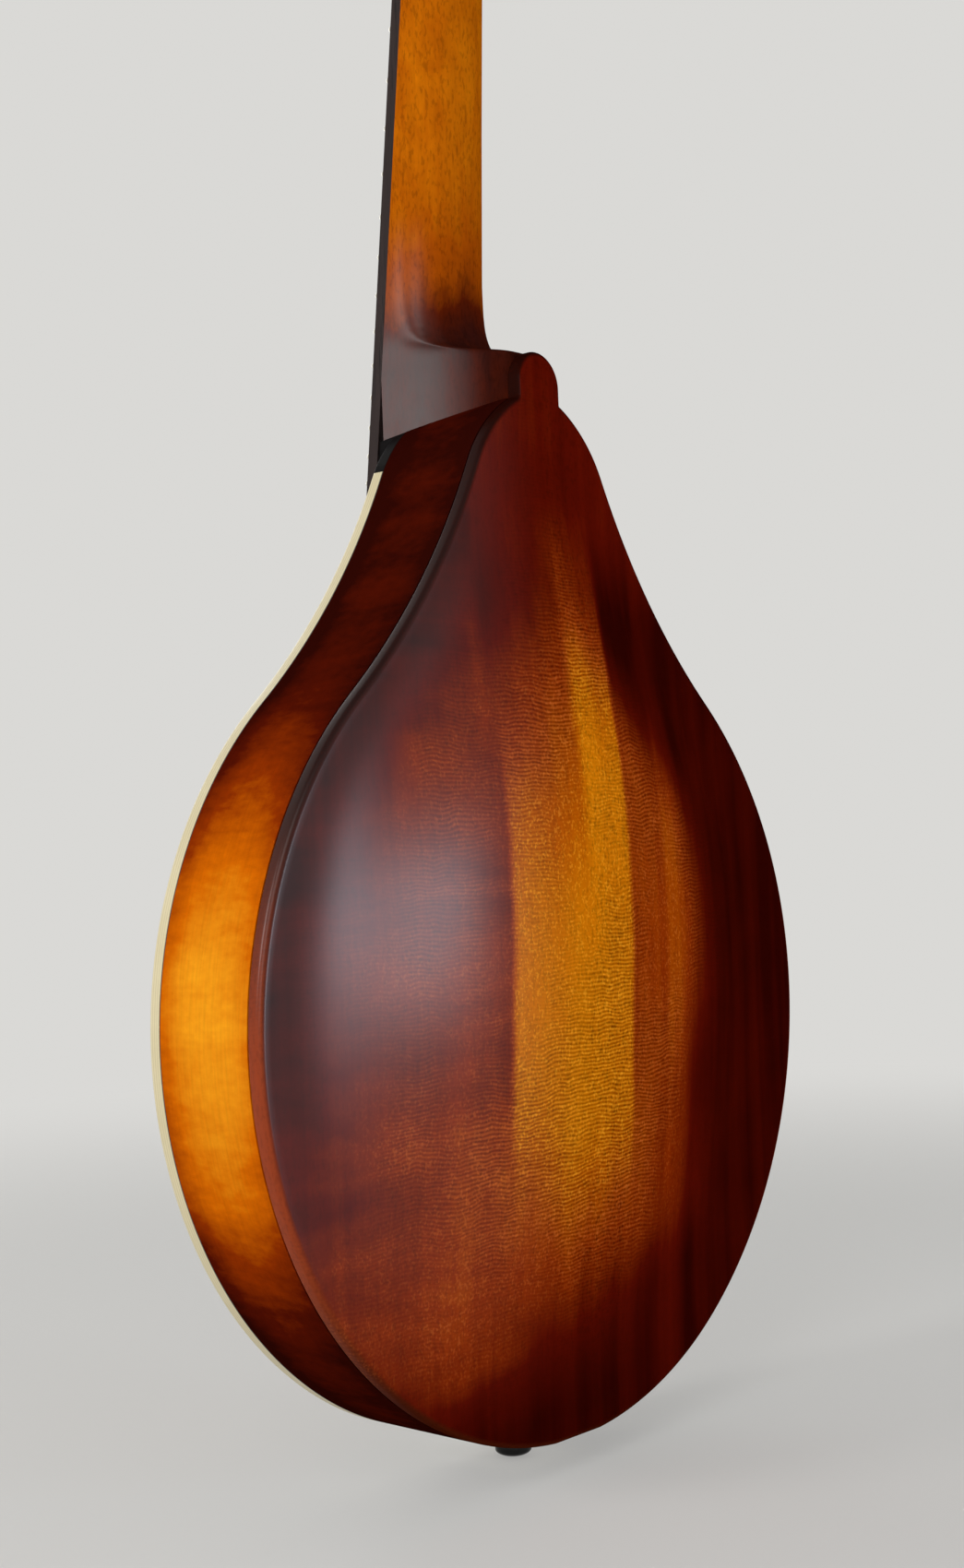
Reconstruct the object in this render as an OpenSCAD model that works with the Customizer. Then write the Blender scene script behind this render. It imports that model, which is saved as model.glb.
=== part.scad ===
// Teardrop mandolin with carved plates, f-holes, a floating adjustable bridge, a cast tailpiece
// and two plates of open-gear tuning machines, built up from its separate pieces.
// +Z runs up the neck, -Y is the string side, +X is the treble side. The origin is the middle
// of the strap button's head.

/* [Body] */
// Width over the lower bout
body_w = 254; // [236:1:272]
// Length from the tail to the heel
body_l = 326; // [312:1:342]
// Depth over both plates at the edge
body_d = 46.6; // [42:0.2:54]
// Thickness of the ribs
rib_t = 2.4; // [1.8:0.1:3.2]
// Depth of the binding, and thickness of the top at its edge
top_edge = 4.5; // [3.5:0.1:5.5]
// Width of the binding strip
binding_w = 1.8; // [1.2:0.1:2.4]
// Thickness of the back at its edge
back_edge = 5.3; // [4:0.1:6.5]
// Height of the top's arch over its edge
top_arch = 13; // [10:0.5:16]
// Height of the back's arch over its edge
back_arch = 13.5; // [10:0.5:17]
// Thickness of both plates in the middle
plate_mid = 4.2; // [3:0.1:5.5]
// Thickness of both plates in the hollow near the edge
plate_thin = 3.0; // [2.4:0.1:3.8]
// Length of each f-hole, between its eyes
fhole_l = 80; // [66:1:88]
// Width of each f-hole's stem
fhole_w = 6.4; // [5:0.2:7.5]
// Width of the linings
lining_w = 5.5; // [4:0.5:7]
// Depth of the linings
lining_d = 7; // [5:0.5:9]

/* [Neck] */
// String length from nut to saddle
scale_l = 352; // [345:1:360]
// Angle of the neck to the body
neck_angle = 5.4; // [4.5:0.1:6.5]
// Distance from the tail to the saddle
bridge_z = 158; // [150:1:166]
// Height over the top's edge at which the fretboard's plane meets the saddle line
board_rise = 25.3; // [23:0.1:28]
// Number of frets
fret_count = 20; // [17:1:22]
// Width of the nut
nut_w = 28.6; // [27:0.2:32]
// Thickness of the nut along the strings
nut_t = 4.6; // [3.5:0.1:6]
// Width of the fretboard at its body end
board_end_w = 43.6; // [40:0.2:47]
// Thickness of the fretboard
board_t = 4.2; // [3.6:0.1:6]
// Width of a fret's crown
fret_w = 2.0; // [1.4:0.1:2.8]
// Height of a fret's crown
fret_h = 1.0; // [0.7:0.1:1.4]
// Thickness of the neck behind the fretboard at the nut
neck_t = 14.3; // [13:0.1:17]
// Growth of that thickness from the nut to the heel
neck_growth = 4.2; // [2:0.1:5]
// Width of the back's button and of the heel under it
button_w = 18.4; // [14:0.2:24]
// Length of the button past the end of the body
button_l = 15; // [11:0.5:19]

/* [Headstock] */
// Angle between the headstock and the neck
head_angle = 14; // [11:0.5:17]
// Length of the headstock
head_l = 142; // [138:1:156]
// Width of the headstock across its shoulders
head_w = 63; // [60:0.5:68]
// Thickness of the headstock without its overlay
head_t = 13.5; // [12:0.1:16]
// Thickness of the overlay on its face
overlay_t = 2; // [1.5:0.1:3]

/* [Tuning machines] */
// Distance between neighbouring posts
post_step = 23; // [22:0.1:24.5]
// Distance from the nut to the first post
post_first = 34; // [32:0.5:38]
// Distance of the posts from the middle of the headstock
post_x = 19.5; // [18:0.1:21]
// Diameter of a string post
post_d = 6; // [5.4:0.1:6.6]
// Running clearance round posts, shafts and wheels, on the radius
run_gap = 0.05; // [0.03:0.01:0.09]
// Thickness of the tuner plates
plate_t = 1.2; // [1:0.1:1.8]
// Number of teeth on each worm wheel
wheel_teeth = 14; // [12:1:16]
// Pitch of the worm
worm_pitch = 2.0; // [1.9:0.05:2.1]
// Diameter of the worm at its pitch line
worm_d = 4.8; // [4.5:0.1:5.2]
// Diameter of the key shaft
shaft_d = 3; // [2.6:0.1:3.4]
// Width of a key's button
key_w = 14; // [12:0.5:16]
// Depth of a key's button along its shaft
key_l = 12; // [10:0.5:14]

/* [Bridge and tailpiece] */
// Length of the bridge's base
base_l = 106; // [102:1:112]
// Width of the bridge's base along the strings
base_w = 11; // [9:0.5:13]
// Length of the saddle past each stud
saddle_over = 8; // [6:0.5:10]
// Thickness of the saddle at its foot
saddle_t = 8; // [7:0.2:10]
// Distance of each bridge stud from the end of the base
stud_in = 21; // [20:0.5:22]
// Diameter of the bridge studs
stud_d = 4; // [3.4:0.1:4.6]
// Diameter of the thumbwheels
wheel_d = 12.5; // [11:0.5:14]
// Thickness of the thumbwheels
wheel_t = 1.8; // [1.5:0.1:2.6]
// Length of the tailpiece over the top
tail_l = 64; // [56:1:72]
// Width of the tailpiece at its string end
tail_w = 44; // [40:1:50]
// Width of the plate on the tail
tail_plate_w = 30; // [26:1:36]

/* [Strap button] */
// Diameter of the strap button's head
strap_d = 11.8; // [10.5:0.1:14]
// Height of the strap button from the tail plate
strap_h = 8.4; // [8:0.1:11]
// Distance of the strap button behind the top's face
strap_y = 18; // [16:0.5:22]

/* [Hidden] */
$fn = 48;
// Gap round a fixed pin or screw, on the radius
pin_gap = 0.02;
// Longer and wider than any space that is cut away
far = 60;

// ---- Colours
AMBER = [0.62, 0.30, 0.07];
BROWN = [0.30, 0.11, 0.05];
CREAM = [0.90, 0.85, 0.70];
EBONY = [0.09, 0.08, 0.08];
NICKEL = [0.72, 0.72, 0.70];
SPRUCE = [0.80, 0.62, 0.38];
STEEL = [0.78, 0.78, 0.80];

// ---- Outline of the body
// Tangent arcs of the half outline from the tail to the heel: [radius, turn, steps].
// A negative turn is a hollow arc.
ARCS = [[121.5, 36, 7], [134.5, 101.5, 21], [232, -22.5, 7], [46, 38.5, 7]];

function turned(i) = i == 0 ? 0 : turned(i - 1) + ARCS[i - 1][1];

function arc_start(i) =
    i == 0 ? [0, 0] :
    arc_point(i - 1, 1);

function arc_point(i, share) =
    let (r = ARCS[i][0], s = sign(ARCS[i][1]), h0 = turned(i), h = h0 + ARCS[i][1] * share)
    arc_start(i) + s * r * [sin(h) - sin(h0), cos(h0) - cos(h)];

RAW = concat([[0, 0]], [for (i = [0:3]) for (k = [1:ARCS[i][2]]) arc_point(i, k / ARCS[i][2])]);
raw_half_w = max([for (p = RAW) p[0]]);
raw_l = RAW[len(RAW) - 1][1];
HALF = [for (p = RAW) [p[0] * body_w / 2 / raw_half_w, p[1] * body_l / raw_l]];
last = len(HALF) - 1;

// Direction of the outline at a point, and the point moved inwards along its normal
function unit(v) = v / norm(v);
function along(i) =
    i == 0 ? [1, 0] :
    unit(HALF[min(i + 1, last)] - HALF[i - 1]);
function inward(i, d) = HALF[i] + d * [-along(i)[1], along(i)[0]];
function half_in(d) = [for (i = [0:last]) inward(i, d)];

// Part of a half outline below a height, ending exactly on it
function below(pts, z) =
    let (n = len([for (p = pts) if (p[1] < z) 1]))
    n >= len(pts) ? pts :
    let (a = pts[n - 1], b = pts[n], u = (z - a[1]) / (b[1] - a[1]))
    concat([for (i = [0:n - 1]) pts[i]], [a + (b - a) * u]);

function flipped(pts) = [for (i = [len(pts) - 1:-1:0]) [-pts[i][0], pts[i][1]]];
function closed(pts) = concat(pts, [for (p = flipped(pts)) if (p[0] < -0.01) p]);

// The top stops square where the black support of the fretboard begins
support_l = 20;
top_end_z = body_l - support_l;
TOP_RIM = closed(below(half_in(binding_w), top_end_z));
BACK_RIM = closed(HALF);

// ---- Carved plates
// Share of the way from the plate's centre to its rim, along the ray through a point
dome_c = [0, bridge_z];
function share_on(a, b, d) =
    let (area = cross(a, b), u = cross(d, b) / area, v = cross(a, d) / area)
    (u >= -0.000001 && v >= -0.000001) ? u + v : 0;
function rim_share(rim, x, z) =
    let (d = [x, z] - dome_c, n = len(rim))
    norm(d) < 0.001 ? 0 :
    max([for (i = [0:n - 1]) share_on(rim[i] - dome_c, rim[(i + 1) % n] - dome_c, d)]);

// Height of the arch from 0 at the flat rim to 1 in the middle, with a hollow inside the rim
flat_rim = 0.95;
function arch(s) =
    s >= flat_rim ? 0 :
    (1 + cos(180 * pow(s / flat_rim, 1.3))) / 2 - 0.03 * pow(sin(180 * pow(s / flat_rim, 4)), 2);

// Thickness of a plate: flat and full at the glued rim, thin in the hollow, thicker in the middle
glue_share = 0.915;
thin_share = 0.84;
function thickness(s, edge) =
    s >= glue_share ? edge :
    s >= thin_share ? plate_thin :
    plate_thin + (plate_mid - plate_thin) * (1 - s / thin_share);

// The contours follow the outline at the rim and turn into ovals towards the middle
function rounded_share(s, x, z) =
    let (up = z > bridge_z ? body_l - bridge_z : bridge_z)
    s >= 1 ? s : s * s * s + (1 - s * s) * norm([x * 2 / body_w, (z - bridge_z) / up]);
function rise(s, x, z) = arch(rounded_share(s, x, z));
function top_y(x, z) = -top_arch * rise(rim_share(TOP_RIM, x, z), x, z);
function top_under(x, z) =
    let (s = rim_share(TOP_RIM, x, z))
    s >= glue_share ? top_edge : thickness(s, top_edge) - top_arch * rise(s, x, z);

OUT_SHARES = [1, 0.975, 0.95, 0.915, 0.86, 0.79, 0.7, 0.58, 0.44, 0.3, 0.15];
IN_SHARES = [0.15, 0.3, 0.44, 0.58, 0.7, 0.79, 0.84, 0.915, 1];

// Rings of a plate from the middle of its edge over the outside to the centre, and back inside
top_round = 0.4;
back_round = 2;
module carved_plate(rim, height, edge, round_r) {
    n = len(rim);
    edge_rings = [
        for (a = [0:45:90])
            [for (p = rim)
                let (q = p - round_r * (1 - cos(a)) * unit(p - dome_c))
                [q[0], (a == 0 ? edge / 2 : round_r - round_r * sin(a)), q[1]]]
    ];
    outer_rings = [
        for (k = [1:len(OUT_SHARES) - 1])
            let (s = OUT_SHARES[k])
            [for (p = rim)
                let (q = dome_c + s * (p - dome_c))
                [q[0], -height * rise(s, q[0], q[1]), q[1]]]
    ];
    inner_rings = [
        for (s = IN_SHARES)
            [for (p = rim)
                let (q = dome_c + s * (p - dome_c))
                [
                    q[0],
                    s >= glue_share ? edge : thickness(s, edge) - height * rise(s, q[0], q[1]),
                    q[1]
                ]]
    ];
    rings = concat(edge_rings, outer_rings);
    count = len(rings);
    all = concat(rings, inner_rings);
    total = len(all);
    front = total * n;
    rear = front + 1;
    points = concat(
        [for (ring = all) for (p = ring) p],
        [[dome_c[0], -height, dome_c[1]], [dome_c[0], plate_mid - height, dome_c[1]]]
    );
    faces = concat(
        [for (k = [0:count - 2]) for (i = [0:n - 1]) each quad(k * n, (k + 1) * n, i, n)],
        [for (i = [0:n - 1]) [front, (count - 1) * n + (i + 1) % n, (count - 1) * n + i]],
        [for (i = [0:n - 1]) [rear, count * n + i, count * n + (i + 1) % n]],
        [for (k = [count:total - 2]) for (i = [0:n - 1]) each quad(k * n, (k + 1) * n, i, n)],
        [for (i = [0:n - 1]) each quad((total - 1) * n, 0, i, n)]
    );
    polyhedron(points = points, faces = faces);
}

// Two triangles between neighbouring points of two rings
function quad(a, b, i, n) =
    let (j = (i + 1) % n)
    [[a + i, b + i, b + j], [a + i, b + j, a + j]];

// ---- Places of the frames
strap_band = 2.2;
strap_dome = 2.2;
strap_plate_t = 1.6;
tail_z = strap_h - strap_dome - strap_band / 2 + strap_plate_t;
module in_body() {
    translate([0, -strap_y, tail_z])
        children();
}
// Shapes drawn in the plane of the body's outline, carried back from one depth to another
module slab(y0, y1) {
    translate([0, y1, 0])
        rotate([90, 0, 0])
            linear_extrude(height = y1 - y0)
                children();
}

nut_y = -board_rise + scale_l * sin(neck_angle);
nut_z = bridge_z + scale_l * cos(neck_angle);
module in_neck() {
    in_body()
        translate([0, nut_y, nut_z])
            rotate([-neck_angle, 0, 0])
                children();
}
module in_head() {
    in_neck()
        translate([0, board_t, nut_t])
            rotate([-head_angle, 0, 0])
                children();
}
function roll_x(p, a) = [p[0], p[1] * cos(a) - p[2] * sin(a), p[1] * sin(a) + p[2] * cos(a)];
function neck_to_body(p) = [0, nut_y, nut_z] + roll_x(p, -neck_angle);
function head_to_body(p) = neck_to_body([0, board_t, nut_t] + roll_x(p, -head_angle));

// ---- Depths of the body's layers, from the top's face
rib_y0 = top_edge;
rib_y1 = body_d - back_edge;

module rib() {
    outer = half_in(0);
    inner = half_in(rib_t);
    slab(rib_y0, rib_y1)
        polygon(concat(outer, [for (i = [last:-1:0]) [max(inner[i][0], 0), inner[i][1]]]));
}

// ---- f-holes, drawn for the treble side
fhole_tilt = 7;
fhole_x = 60;
fhole_eye = 4.4;
fhole_sway = 0.62;
fhole_tip = 0.25;
eye_bite = 0.8;
fhole_steps = 12;
function fhole_mid(t) = [fhole_w * fhole_sway * sin(180 * t), fhole_l / 2 * t];
function fhole_half(t) = fhole_w / 2 * (fhole_tip + (1 - fhole_tip) * pow(cos(90 * t), 0.8));
module fhole() {
    ts = [for (k = [-fhole_steps:fhole_steps]) k / fhole_steps];
    translate([fhole_x, bridge_z])
        rotate(fhole_tilt) {
            polygon(concat(
                [for (t = ts) fhole_mid(t) + [fhole_half(t), 0]],
                [for (k = [len(ts) - 1:-1:0]) fhole_mid(ts[k]) - [fhole_half(ts[k]), 0]]
            ));
            for (s = [-1, 1])
                translate([-s * (fhole_eye - eye_bite), s * fhole_l / 2])
                    circle(r = fhole_eye);
        }
}

module soundboard() {
    color(SPRUCE)
        in_body()
            difference() {
                carved_plate(TOP_RIM, top_arch, top_edge, top_round);
                for (m = [0, 1])
                    mirror([m, 0, 0])
                        slab(-top_arch - 1, top_edge + 1)
                            fhole();
            }
}

module back_plate() {
    color(BROWN)
        in_body()
            union() {
                translate([0, body_d, 0])
                    mirror([0, 1, 0])
                        carved_plate(BACK_RIM, back_arch, back_edge, back_round);
                slab(rib_y1, body_d)
                    union() {
                        translate([-button_w / 2, body_l - button_l])
                            square([button_w, 2 * button_l - button_w / 2]);
                        translate([0, body_l + button_l - button_w / 2])
                            circle(d = button_w);
                    }
            }
}

module side_treble() {
    color(AMBER)
        in_body()
            difference() {
                rib();
                tail_holes();
            }
}

module side_bass() {
    color(AMBER)
        in_body()
            difference() {
                mirror([1, 0, 0])
                    rib();
                tail_holes();
            }
}

module top_binding() {
    outer = below(half_in(0), top_end_z);
    inner = below(half_in(binding_w), top_end_z);
    color(CREAM)
        in_body()
            slab(0, top_edge)
                polygon(concat(
                    outer,
                    [for (i = [len(inner) - 1:-1:0]) inner[i]],
                    [for (i = [1:len(inner) - 1]) [-inner[i][0], inner[i][1]]],
                    flipped(outer)
                ));
}

// ---- Inside the body
lining_gap = 0.05;
module lining_strip(y0, y1, z_end) {
    outer = below(half_in(rib_t), z_end);
    inner = below(half_in(rib_t + lining_w), z_end);
    start = len([for (p = outer) if (p[0] < block_w / 2) 1]);
    start_in = len([for (p = inner) if (p[0] < block_w / 2) 1]);
    slab(y0, y1)
        polygon(concat(
            [for (i = [start:len(outer) - 1]) outer[i]],
            [for (i = [len(inner) - 1:-1:start_in]) inner[i]]
        ));
}

block_w = 56;
block_d = 20;
neck_block_l = 30;
neck_block_z = body_l - neck_block_l - rib_t;
module linings() {
    color(SPRUCE)
        in_body()
            for (m = [0, 1])
                mirror([m, 0, 0]) {
                    lining_strip(rib_y0, rib_y0 + lining_d, neck_block_z - 1);
                    lining_strip(rib_y1 - lining_d, rib_y1, neck_block_z - 1);
                }
}

module neck_block() {
    color(SPRUCE)
        in_body()
            slab(rib_y0, rib_y1)
                intersection() {
                    polygon(closed(half_in(rib_t)));
                    translate([-block_w / 2, neck_block_z])
                        square([block_w, neck_block_l]);
                }
}

module tail_block() {
    color(SPRUCE)
        in_body()
            difference() {
                slab(rib_y0, rib_y1)
                    intersection() {
                        polygon(closed(half_in(rib_t)));
                        translate([-block_w / 2, 0])
                            square([block_w, block_d]);
                    }
                tail_holes();
            }
}

// A bar glued under the top, shaped to the inside of the arch
bar_w = 6;
bar_h = 9;
bar_tip = 2.5;
bar_gap = 0.15;
// Ends of the bars, as shares of the body's width and length
BAR_X = [[0.118, 0.157], [-0.142, -0.102]];
BAR_Z = [0.19, 0.804];
module tone_bar(x0, x1, z0, z1) {
    steps = 12;
    us = [for (k = [0:steps]) k / steps];
    len_bar = norm([x1 - x0, z1 - z0]);
    bar_turn = atan2(x1 - x0, z1 - z0);
    function seat(u) =
        let (x = x0 + (x1 - x0) * u, z = z0 + (z1 - z0) * u)
        max(top_under(x - bar_w / 2, z), top_under(x, z), top_under(x + bar_w / 2, z)) + bar_gap;
    function bar_depth(u) = bar_tip + (bar_h - bar_tip) * pow(sin(180 * u), 0.6);
    translate([x0, 0, z0])
        rotate([0, bar_turn, 0])
            translate([-bar_w / 2, 0, 0])
                rotate([0, 90, 0])
                    linear_extrude(height = bar_w)
                        polygon(concat(
                            [for (u = us) [-u * len_bar, seat(u)]],
                            [for (k = [steps:-1:0]) [-us[k] * len_bar, seat(us[k]) + bar_depth(us[k])]]
                        ));
}

module tone_bars() {
    color(SPRUCE)
        in_body()
            for (x = BAR_X)
                tone_bar(x[0] * body_w, x[1] * body_w, BAR_Z[0] * body_l, BAR_Z[1] * body_l);
}

// ---- Neck
// Depth of the fretboard's face at a height in the body's frame
function board_face(z) = nut_y - (nut_z - z) * tan(neck_angle);
function board_back(z) = board_face(z) + board_t / cos(neck_angle);
board_over = 4;
board_l = scale_l * (1 - pow(2, -fret_count / 12)) + board_over;
function board_half(d) = (nut_w + (board_end_w - nut_w) * max(d, 0) / board_l) / 2;
function board_half_z(z) = board_half((nut_z - z) / cos(neck_angle));

heel_y = rib_y1;
heel_z = body_l + button_l;
// Depth of the wood behind the fretboard, where it isn't yet the heel
function neck_depth(z) = neck_t + neck_growth * (nut_z - z) / (nut_z - heel_z);
// Sections up the neck: [height over the heel's face, share of the way from the neck's depth to
// the heel's, squareness of the section]
NECK_RINGS = [
    [-60, 1, 5], [-3, 1, 5], [-0.4, 0.985, 5], [1.1, 0.93, 4.7], [2.4, 0.72, 4.4],
    [3.3, 0.46, 4.1], [4.1, 0.27, 3.8], [5, 0.16, 3.5], [6, 0.1, 3.2], [7.2, 0.06, 2.9],
    [9, 0.03, 2.6], [11.5, 0.01, 2.35], [16, 0, 2.2], [80, 0, 2.1], [nut_z - heel_z + nut_t, 0, 2.1]
];
neck_sides = 20;
NECK_SECTIONS = [
    for (r = NECK_RINGS)
        let (
            z = heel_z + r[0],
            front = board_back(z),
            thin = neck_depth(z),
            depth = thin + (heel_y - front - thin) * r[1],
            half_f = board_half_z(z),
            half_b = min(half_f, button_w / 2),
            e = 2 / r[2]
        )
        [for (k = [0:neck_sides])
            let (
                a = 180 * k / neck_sides,
                y = pow(max(sin(a), 0), e),
                half = half_f + (half_b - half_f) * y * r[1]
            )
            [sign(cos(a)) * pow(abs(cos(a)), e) * half, front + depth * y, z]]
];

// A closed solid through rings of points that run counter-clockwise about the way they are stacked
module ring_solid(rings) {
    n = len(rings[0]);
    m = len(rings);
    polyhedron(
        points = [for (ring = rings) for (p = ring) p],
        faces = concat(
            [for (k = [0:m - 2]) for (i = [0:n - 1]) each quad(k * n, (k + 1) * n, i, n)],
            [[for (i = [0:n - 1]) i]],
            [[for (i = [n - 1:-1:0]) (m - 1) * n + i]]
        )
    );
}

// ---- Headstock outline: a flare above the nut, straight sides drawn in a little, a bowed crown
head_flare = 26;
head_draw = 4;
head_crown = 9;
function head_half(z) =
    z < head_flare ?
        nut_w / 2 + (head_w - nut_w) / 2 * (1 - cos(180 * z / head_flare)) / 2 :
        head_w / 2 - head_draw * (z - head_flare) / (head_l - head_flare);
head_top_half = head_half(head_l);
HEAD_SIDE = [for (k = [0:10]) let (z = head_flare * k / 10) [head_half(z), z]];
HEAD_CROWN = [
    for (k = [0:9])
        let (x = head_top_half * (1 - k / 10))
        [x, head_l + head_crown * (1 - cos(180 * (1 - x / head_top_half))) / 2]
];
function both_sides(pts) =
    concat(pts, [for (i = [len(pts) - 1:-1:0]) if (pts[i][0] > 0.01) [-pts[i][0], pts[i][1]]]);
module head_outline() {
    polygon(both_sides(concat(HEAD_SIDE, HEAD_CROWN, [[0, head_l + head_crown]])));
}

// Posts of both sides, numbered up the treble side and then up the bass side
function post_side(n) = n <= 4 ? 1 : -1;
function post_z(n) = post_first + post_step * ((n - 1) % 4);
bush_d = 8.4;
rod_d = 5;
rod_y = 4;
rod_l = nut_z - heel_z;
pocket_w = 11;
pocket_l = 24;
pocket_d = 10;
pocket_low = 0.5;

module head_holes(d) {
    for (n = [1:8])
        translate([post_side(n) * post_x, -far / 2, post_z(n)])
            rotate([-90, 0, 0])
                cylinder(d = d, h = far);
}

// Pocket in the face of the headstock where the truss rod's nut turns
module rod_pocket() {
    translate([-pocket_w / 2, -overlay_t - 1, -pocket_low])
        cube([pocket_w, pocket_d + overlay_t + 1, pocket_l]);
}

// Channel under the fretboard that holds the truss rod
rod_slot = rod_d + 2 * run_gap;
module rod_channel() {
    translate([-rod_slot / 2, board_t - 1, -rod_l])
        cube([rod_slot, rod_y + rod_d / 2 + run_gap + 1, rod_l + nut_t + 2]);
}

module neck() {
    color(AMBER)
        difference() {
            union() {
                in_body()
                    ring_solid(NECK_SECTIONS);
                in_head()
                    slab(0, head_t)
                        head_outline();
            }
            in_body()
                slab(-far, body_d + far)
                    polygon(BACK_RIM);
            in_neck()
                rod_channel();
            in_head() {
                slab(-overlay_t - 1, 0)
                    head_outline();
                head_holes(bush_d);
                rod_pocket();
                plate_screws(1, head_t + 1, head_t - screw_bite);
                plate_screws(-1, head_t + 1, head_t - screw_bite);
                cover_screw_hole();
            }
        }
}

// The truss rod, drawn in at its end to the thread that its nut turns on
rod_foot = 3;
rod_thread_d = rod_d - 2;
rod_thread_l = 5.2;
module truss_rod() {
    color(STEEL)
        in_neck()
            translate([0, board_t + rod_y, 0])
                union() {
                    translate([0, 0, rod_foot - rod_l])
                        cylinder(d = rod_d, h = rod_l - rod_foot + nut_t);
                    translate([0, 0, nut_t])
                        cylinder(d = rod_thread_d, h = rod_thread_l);
                }
}

// The nut of the truss rod, with a six-sided socket in its end
rod_nut_d = 6.4;
rod_nut_l = 9;
rod_nut_gap = 1;
rod_socket_d = 4.6;
rod_socket_l = 3.6;
module truss_rod_nut() {
    color(NICKEL)
        in_neck()
            translate([0, board_t + rod_y, nut_t + rod_nut_gap])
                difference() {
                    cylinder(d = rod_nut_d, h = rod_nut_l);
                    translate([0, 0, rod_nut_l - rod_socket_l])
                        cylinder(d = rod_socket_d, h = rod_socket_l + 1, $fn = 6);
                    translate([0, 0, -1])
                        cylinder(d = rod_thread_d + 2 * run_gap, h = rod_nut_l);
                }
}

module truss_rod_cover() {
    color(EBONY)
        in_head()
            difference() {
                slab(-overlay_t - cover_t, -overlay_t)
                    cover_outline();
                cover_screw_hole();
            }
}
cover_foot = 9;
cover_t = 1.6;
cover_screw_z = pocket_l + 3.5;
screw_bite = 6;
cover_screw_l = cover_t + overlay_t + screw_bite;
module cover_screw_hole() {
    translate([0, cover_screw_l - cover_t - overlay_t, cover_screw_z])
        rotate([90, 0, 0])
            cylinder(d = plate_screw_d, h = cover_screw_l + 1);
}
module cover_outline() {
    polygon(both_sides([
        for (k = [0:12])
            let (u = k / 12)
            [cover_foot * pow(cos(90 * pow(u, 2.2)), 0.8), 1 + (pocket_l + 8) * u]
    ]));
}

module headstock_overlay() {
    color(EBONY)
        in_head()
            difference() {
                slab(-overlay_t, 0)
                    head_outline();
                head_holes(bush_d);
                rod_pocket();
                cover_screw_hole();
            }
}

// ---- Fretboard
module board_plan() {
    polygon([
        [-nut_w / 2, 0], [nut_w / 2, 0],
        [board_end_w / 2, -board_l], [-board_end_w / 2, -board_l]
    ]);
}
function fret_z(n) = -scale_l * (1 - pow(2, -n / 12));
dot_d = 5;
dot_t = 1.2;
DOT_FRETS = [[5, 0], [7, 0], [10, 0], [12, -1], [12, 1], [15, 0]];
module dots(depth) {
    for (f = DOT_FRETS)
        translate([f[1] * nut_w / 4, 0, (fret_z(f[0]) + fret_z(f[0] - 1)) / 2])
            rotate([-90, 0, 0])
                cylinder(d = dot_d, h = depth);
}

module fretboard() {
    color(EBONY)
        in_neck()
            difference() {
                slab(0, board_t)
                    board_plan();
                dots(dot_t);
            }
}

module fret_dots() {
    color(CREAM)
        in_neck()
            dots(dot_t);
}

module frets() {
    crown = [for (k = [0:6]) let (a = 180 * k / 6) [-fret_h * sin(a), fret_w / 2 * cos(a)]];
    color(STEEL)
        in_neck()
            for (n = [1:fret_count])
                let (half = board_half(-fret_z(n)))
                translate([-half, 0, fret_z(n)])
                    rotate([90, 0, 90])
                        linear_extrude(height = 2 * half)
                            polygon([for (p = crown) p]);
}

nut_rise = 2.6;
nut_clear = 0.4;
nut_string_y = -fret_h - nut_clear;
module nut() {
    color(CREAM)
        in_neck()
            difference() {
                translate([-nut_w / 2, -nut_rise, 0])
                    cube([nut_w, board_t + nut_rise, nut_t]);
                for (k = [0:7])
                    translate([nut_x(k), nut_string_y - gauge(k) / 2, -1]) {
                        cylinder(r = gauge(k) / 2 + run_gap, h = nut_t + 2, $fn = 24);
                        translate([-gauge(k) / 2 - run_gap, -nut_rise, 0])
                            cube([gauge(k) + 2 * run_gap, nut_rise, nut_t + 2]);
                    }
            }
}

// The black support that carries the fretboard over the end of the top
support_tongue = 24;
support_t = 5;
SUPPORT_IN = [0.4, 1.2];
module fretboard_support() {
    low = [
        board_half_z(body_l) - SUPPORT_IN[0],
        board_half_z(top_end_z - support_tongue) - SUPPORT_IN[1]
    ];
    color(EBONY)
        in_body()
            difference() {
                union() {
                    slab(0, top_edge)
                        intersection() {
                            polygon(BACK_RIM);
                            translate([-body_w / 2, top_end_z])
                                square([body_w, support_l]);
                        }
                    slab(-far, 0)
                        intersection() {
                            polygon(BACK_RIM);
                            polygon([
                                [-low[0], body_l], [low[0], body_l],
                                [low[1], top_end_z - support_tongue],
                                [-low[1], top_end_z - support_tongue]
                            ]);
                        }
                }
                // the fretboard's own space
                translate([0, nut_y, nut_z])
                    rotate([-neck_angle, 0, 0])
                        translate([-far, board_t - 2 * far, -board_l - far])
                            cube([2 * far, 2 * far, board_l + far]);
                // room over the arch under the tongue
                translate([-far, board_back(top_end_z) + support_t, top_end_z - far])
                    cube([2 * far, far, far]);
            }
}

// ---- Strings, from bass to treble in pairs
GAUGES = [1.02, 0.66, 0.38, 0.28];
function gauge(k) = GAUGES[floor(k / 2)];
pair_gap_nut = 2.4;
pair_gap_bridge = 3;
pair_gap_tail = 3.4;
nut_spread = 22.6;
bridge_spread = 42;
tail_spread = 30;
function fan(k, spread, gap) =
    let (pair = floor(k / 2), side = k % 2 == 0 ? -1 : 1)
    -(spread - gap) / 2 + (spread - gap) * pair / 3 + side * gap / 2;
function nut_x(k) = fan(k, nut_spread, pair_gap_nut);
function saddle_x(k) = fan(k, bridge_spread, pair_gap_bridge);
function tail_x(k) = fan(k, tail_spread, pair_gap_tail);
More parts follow.
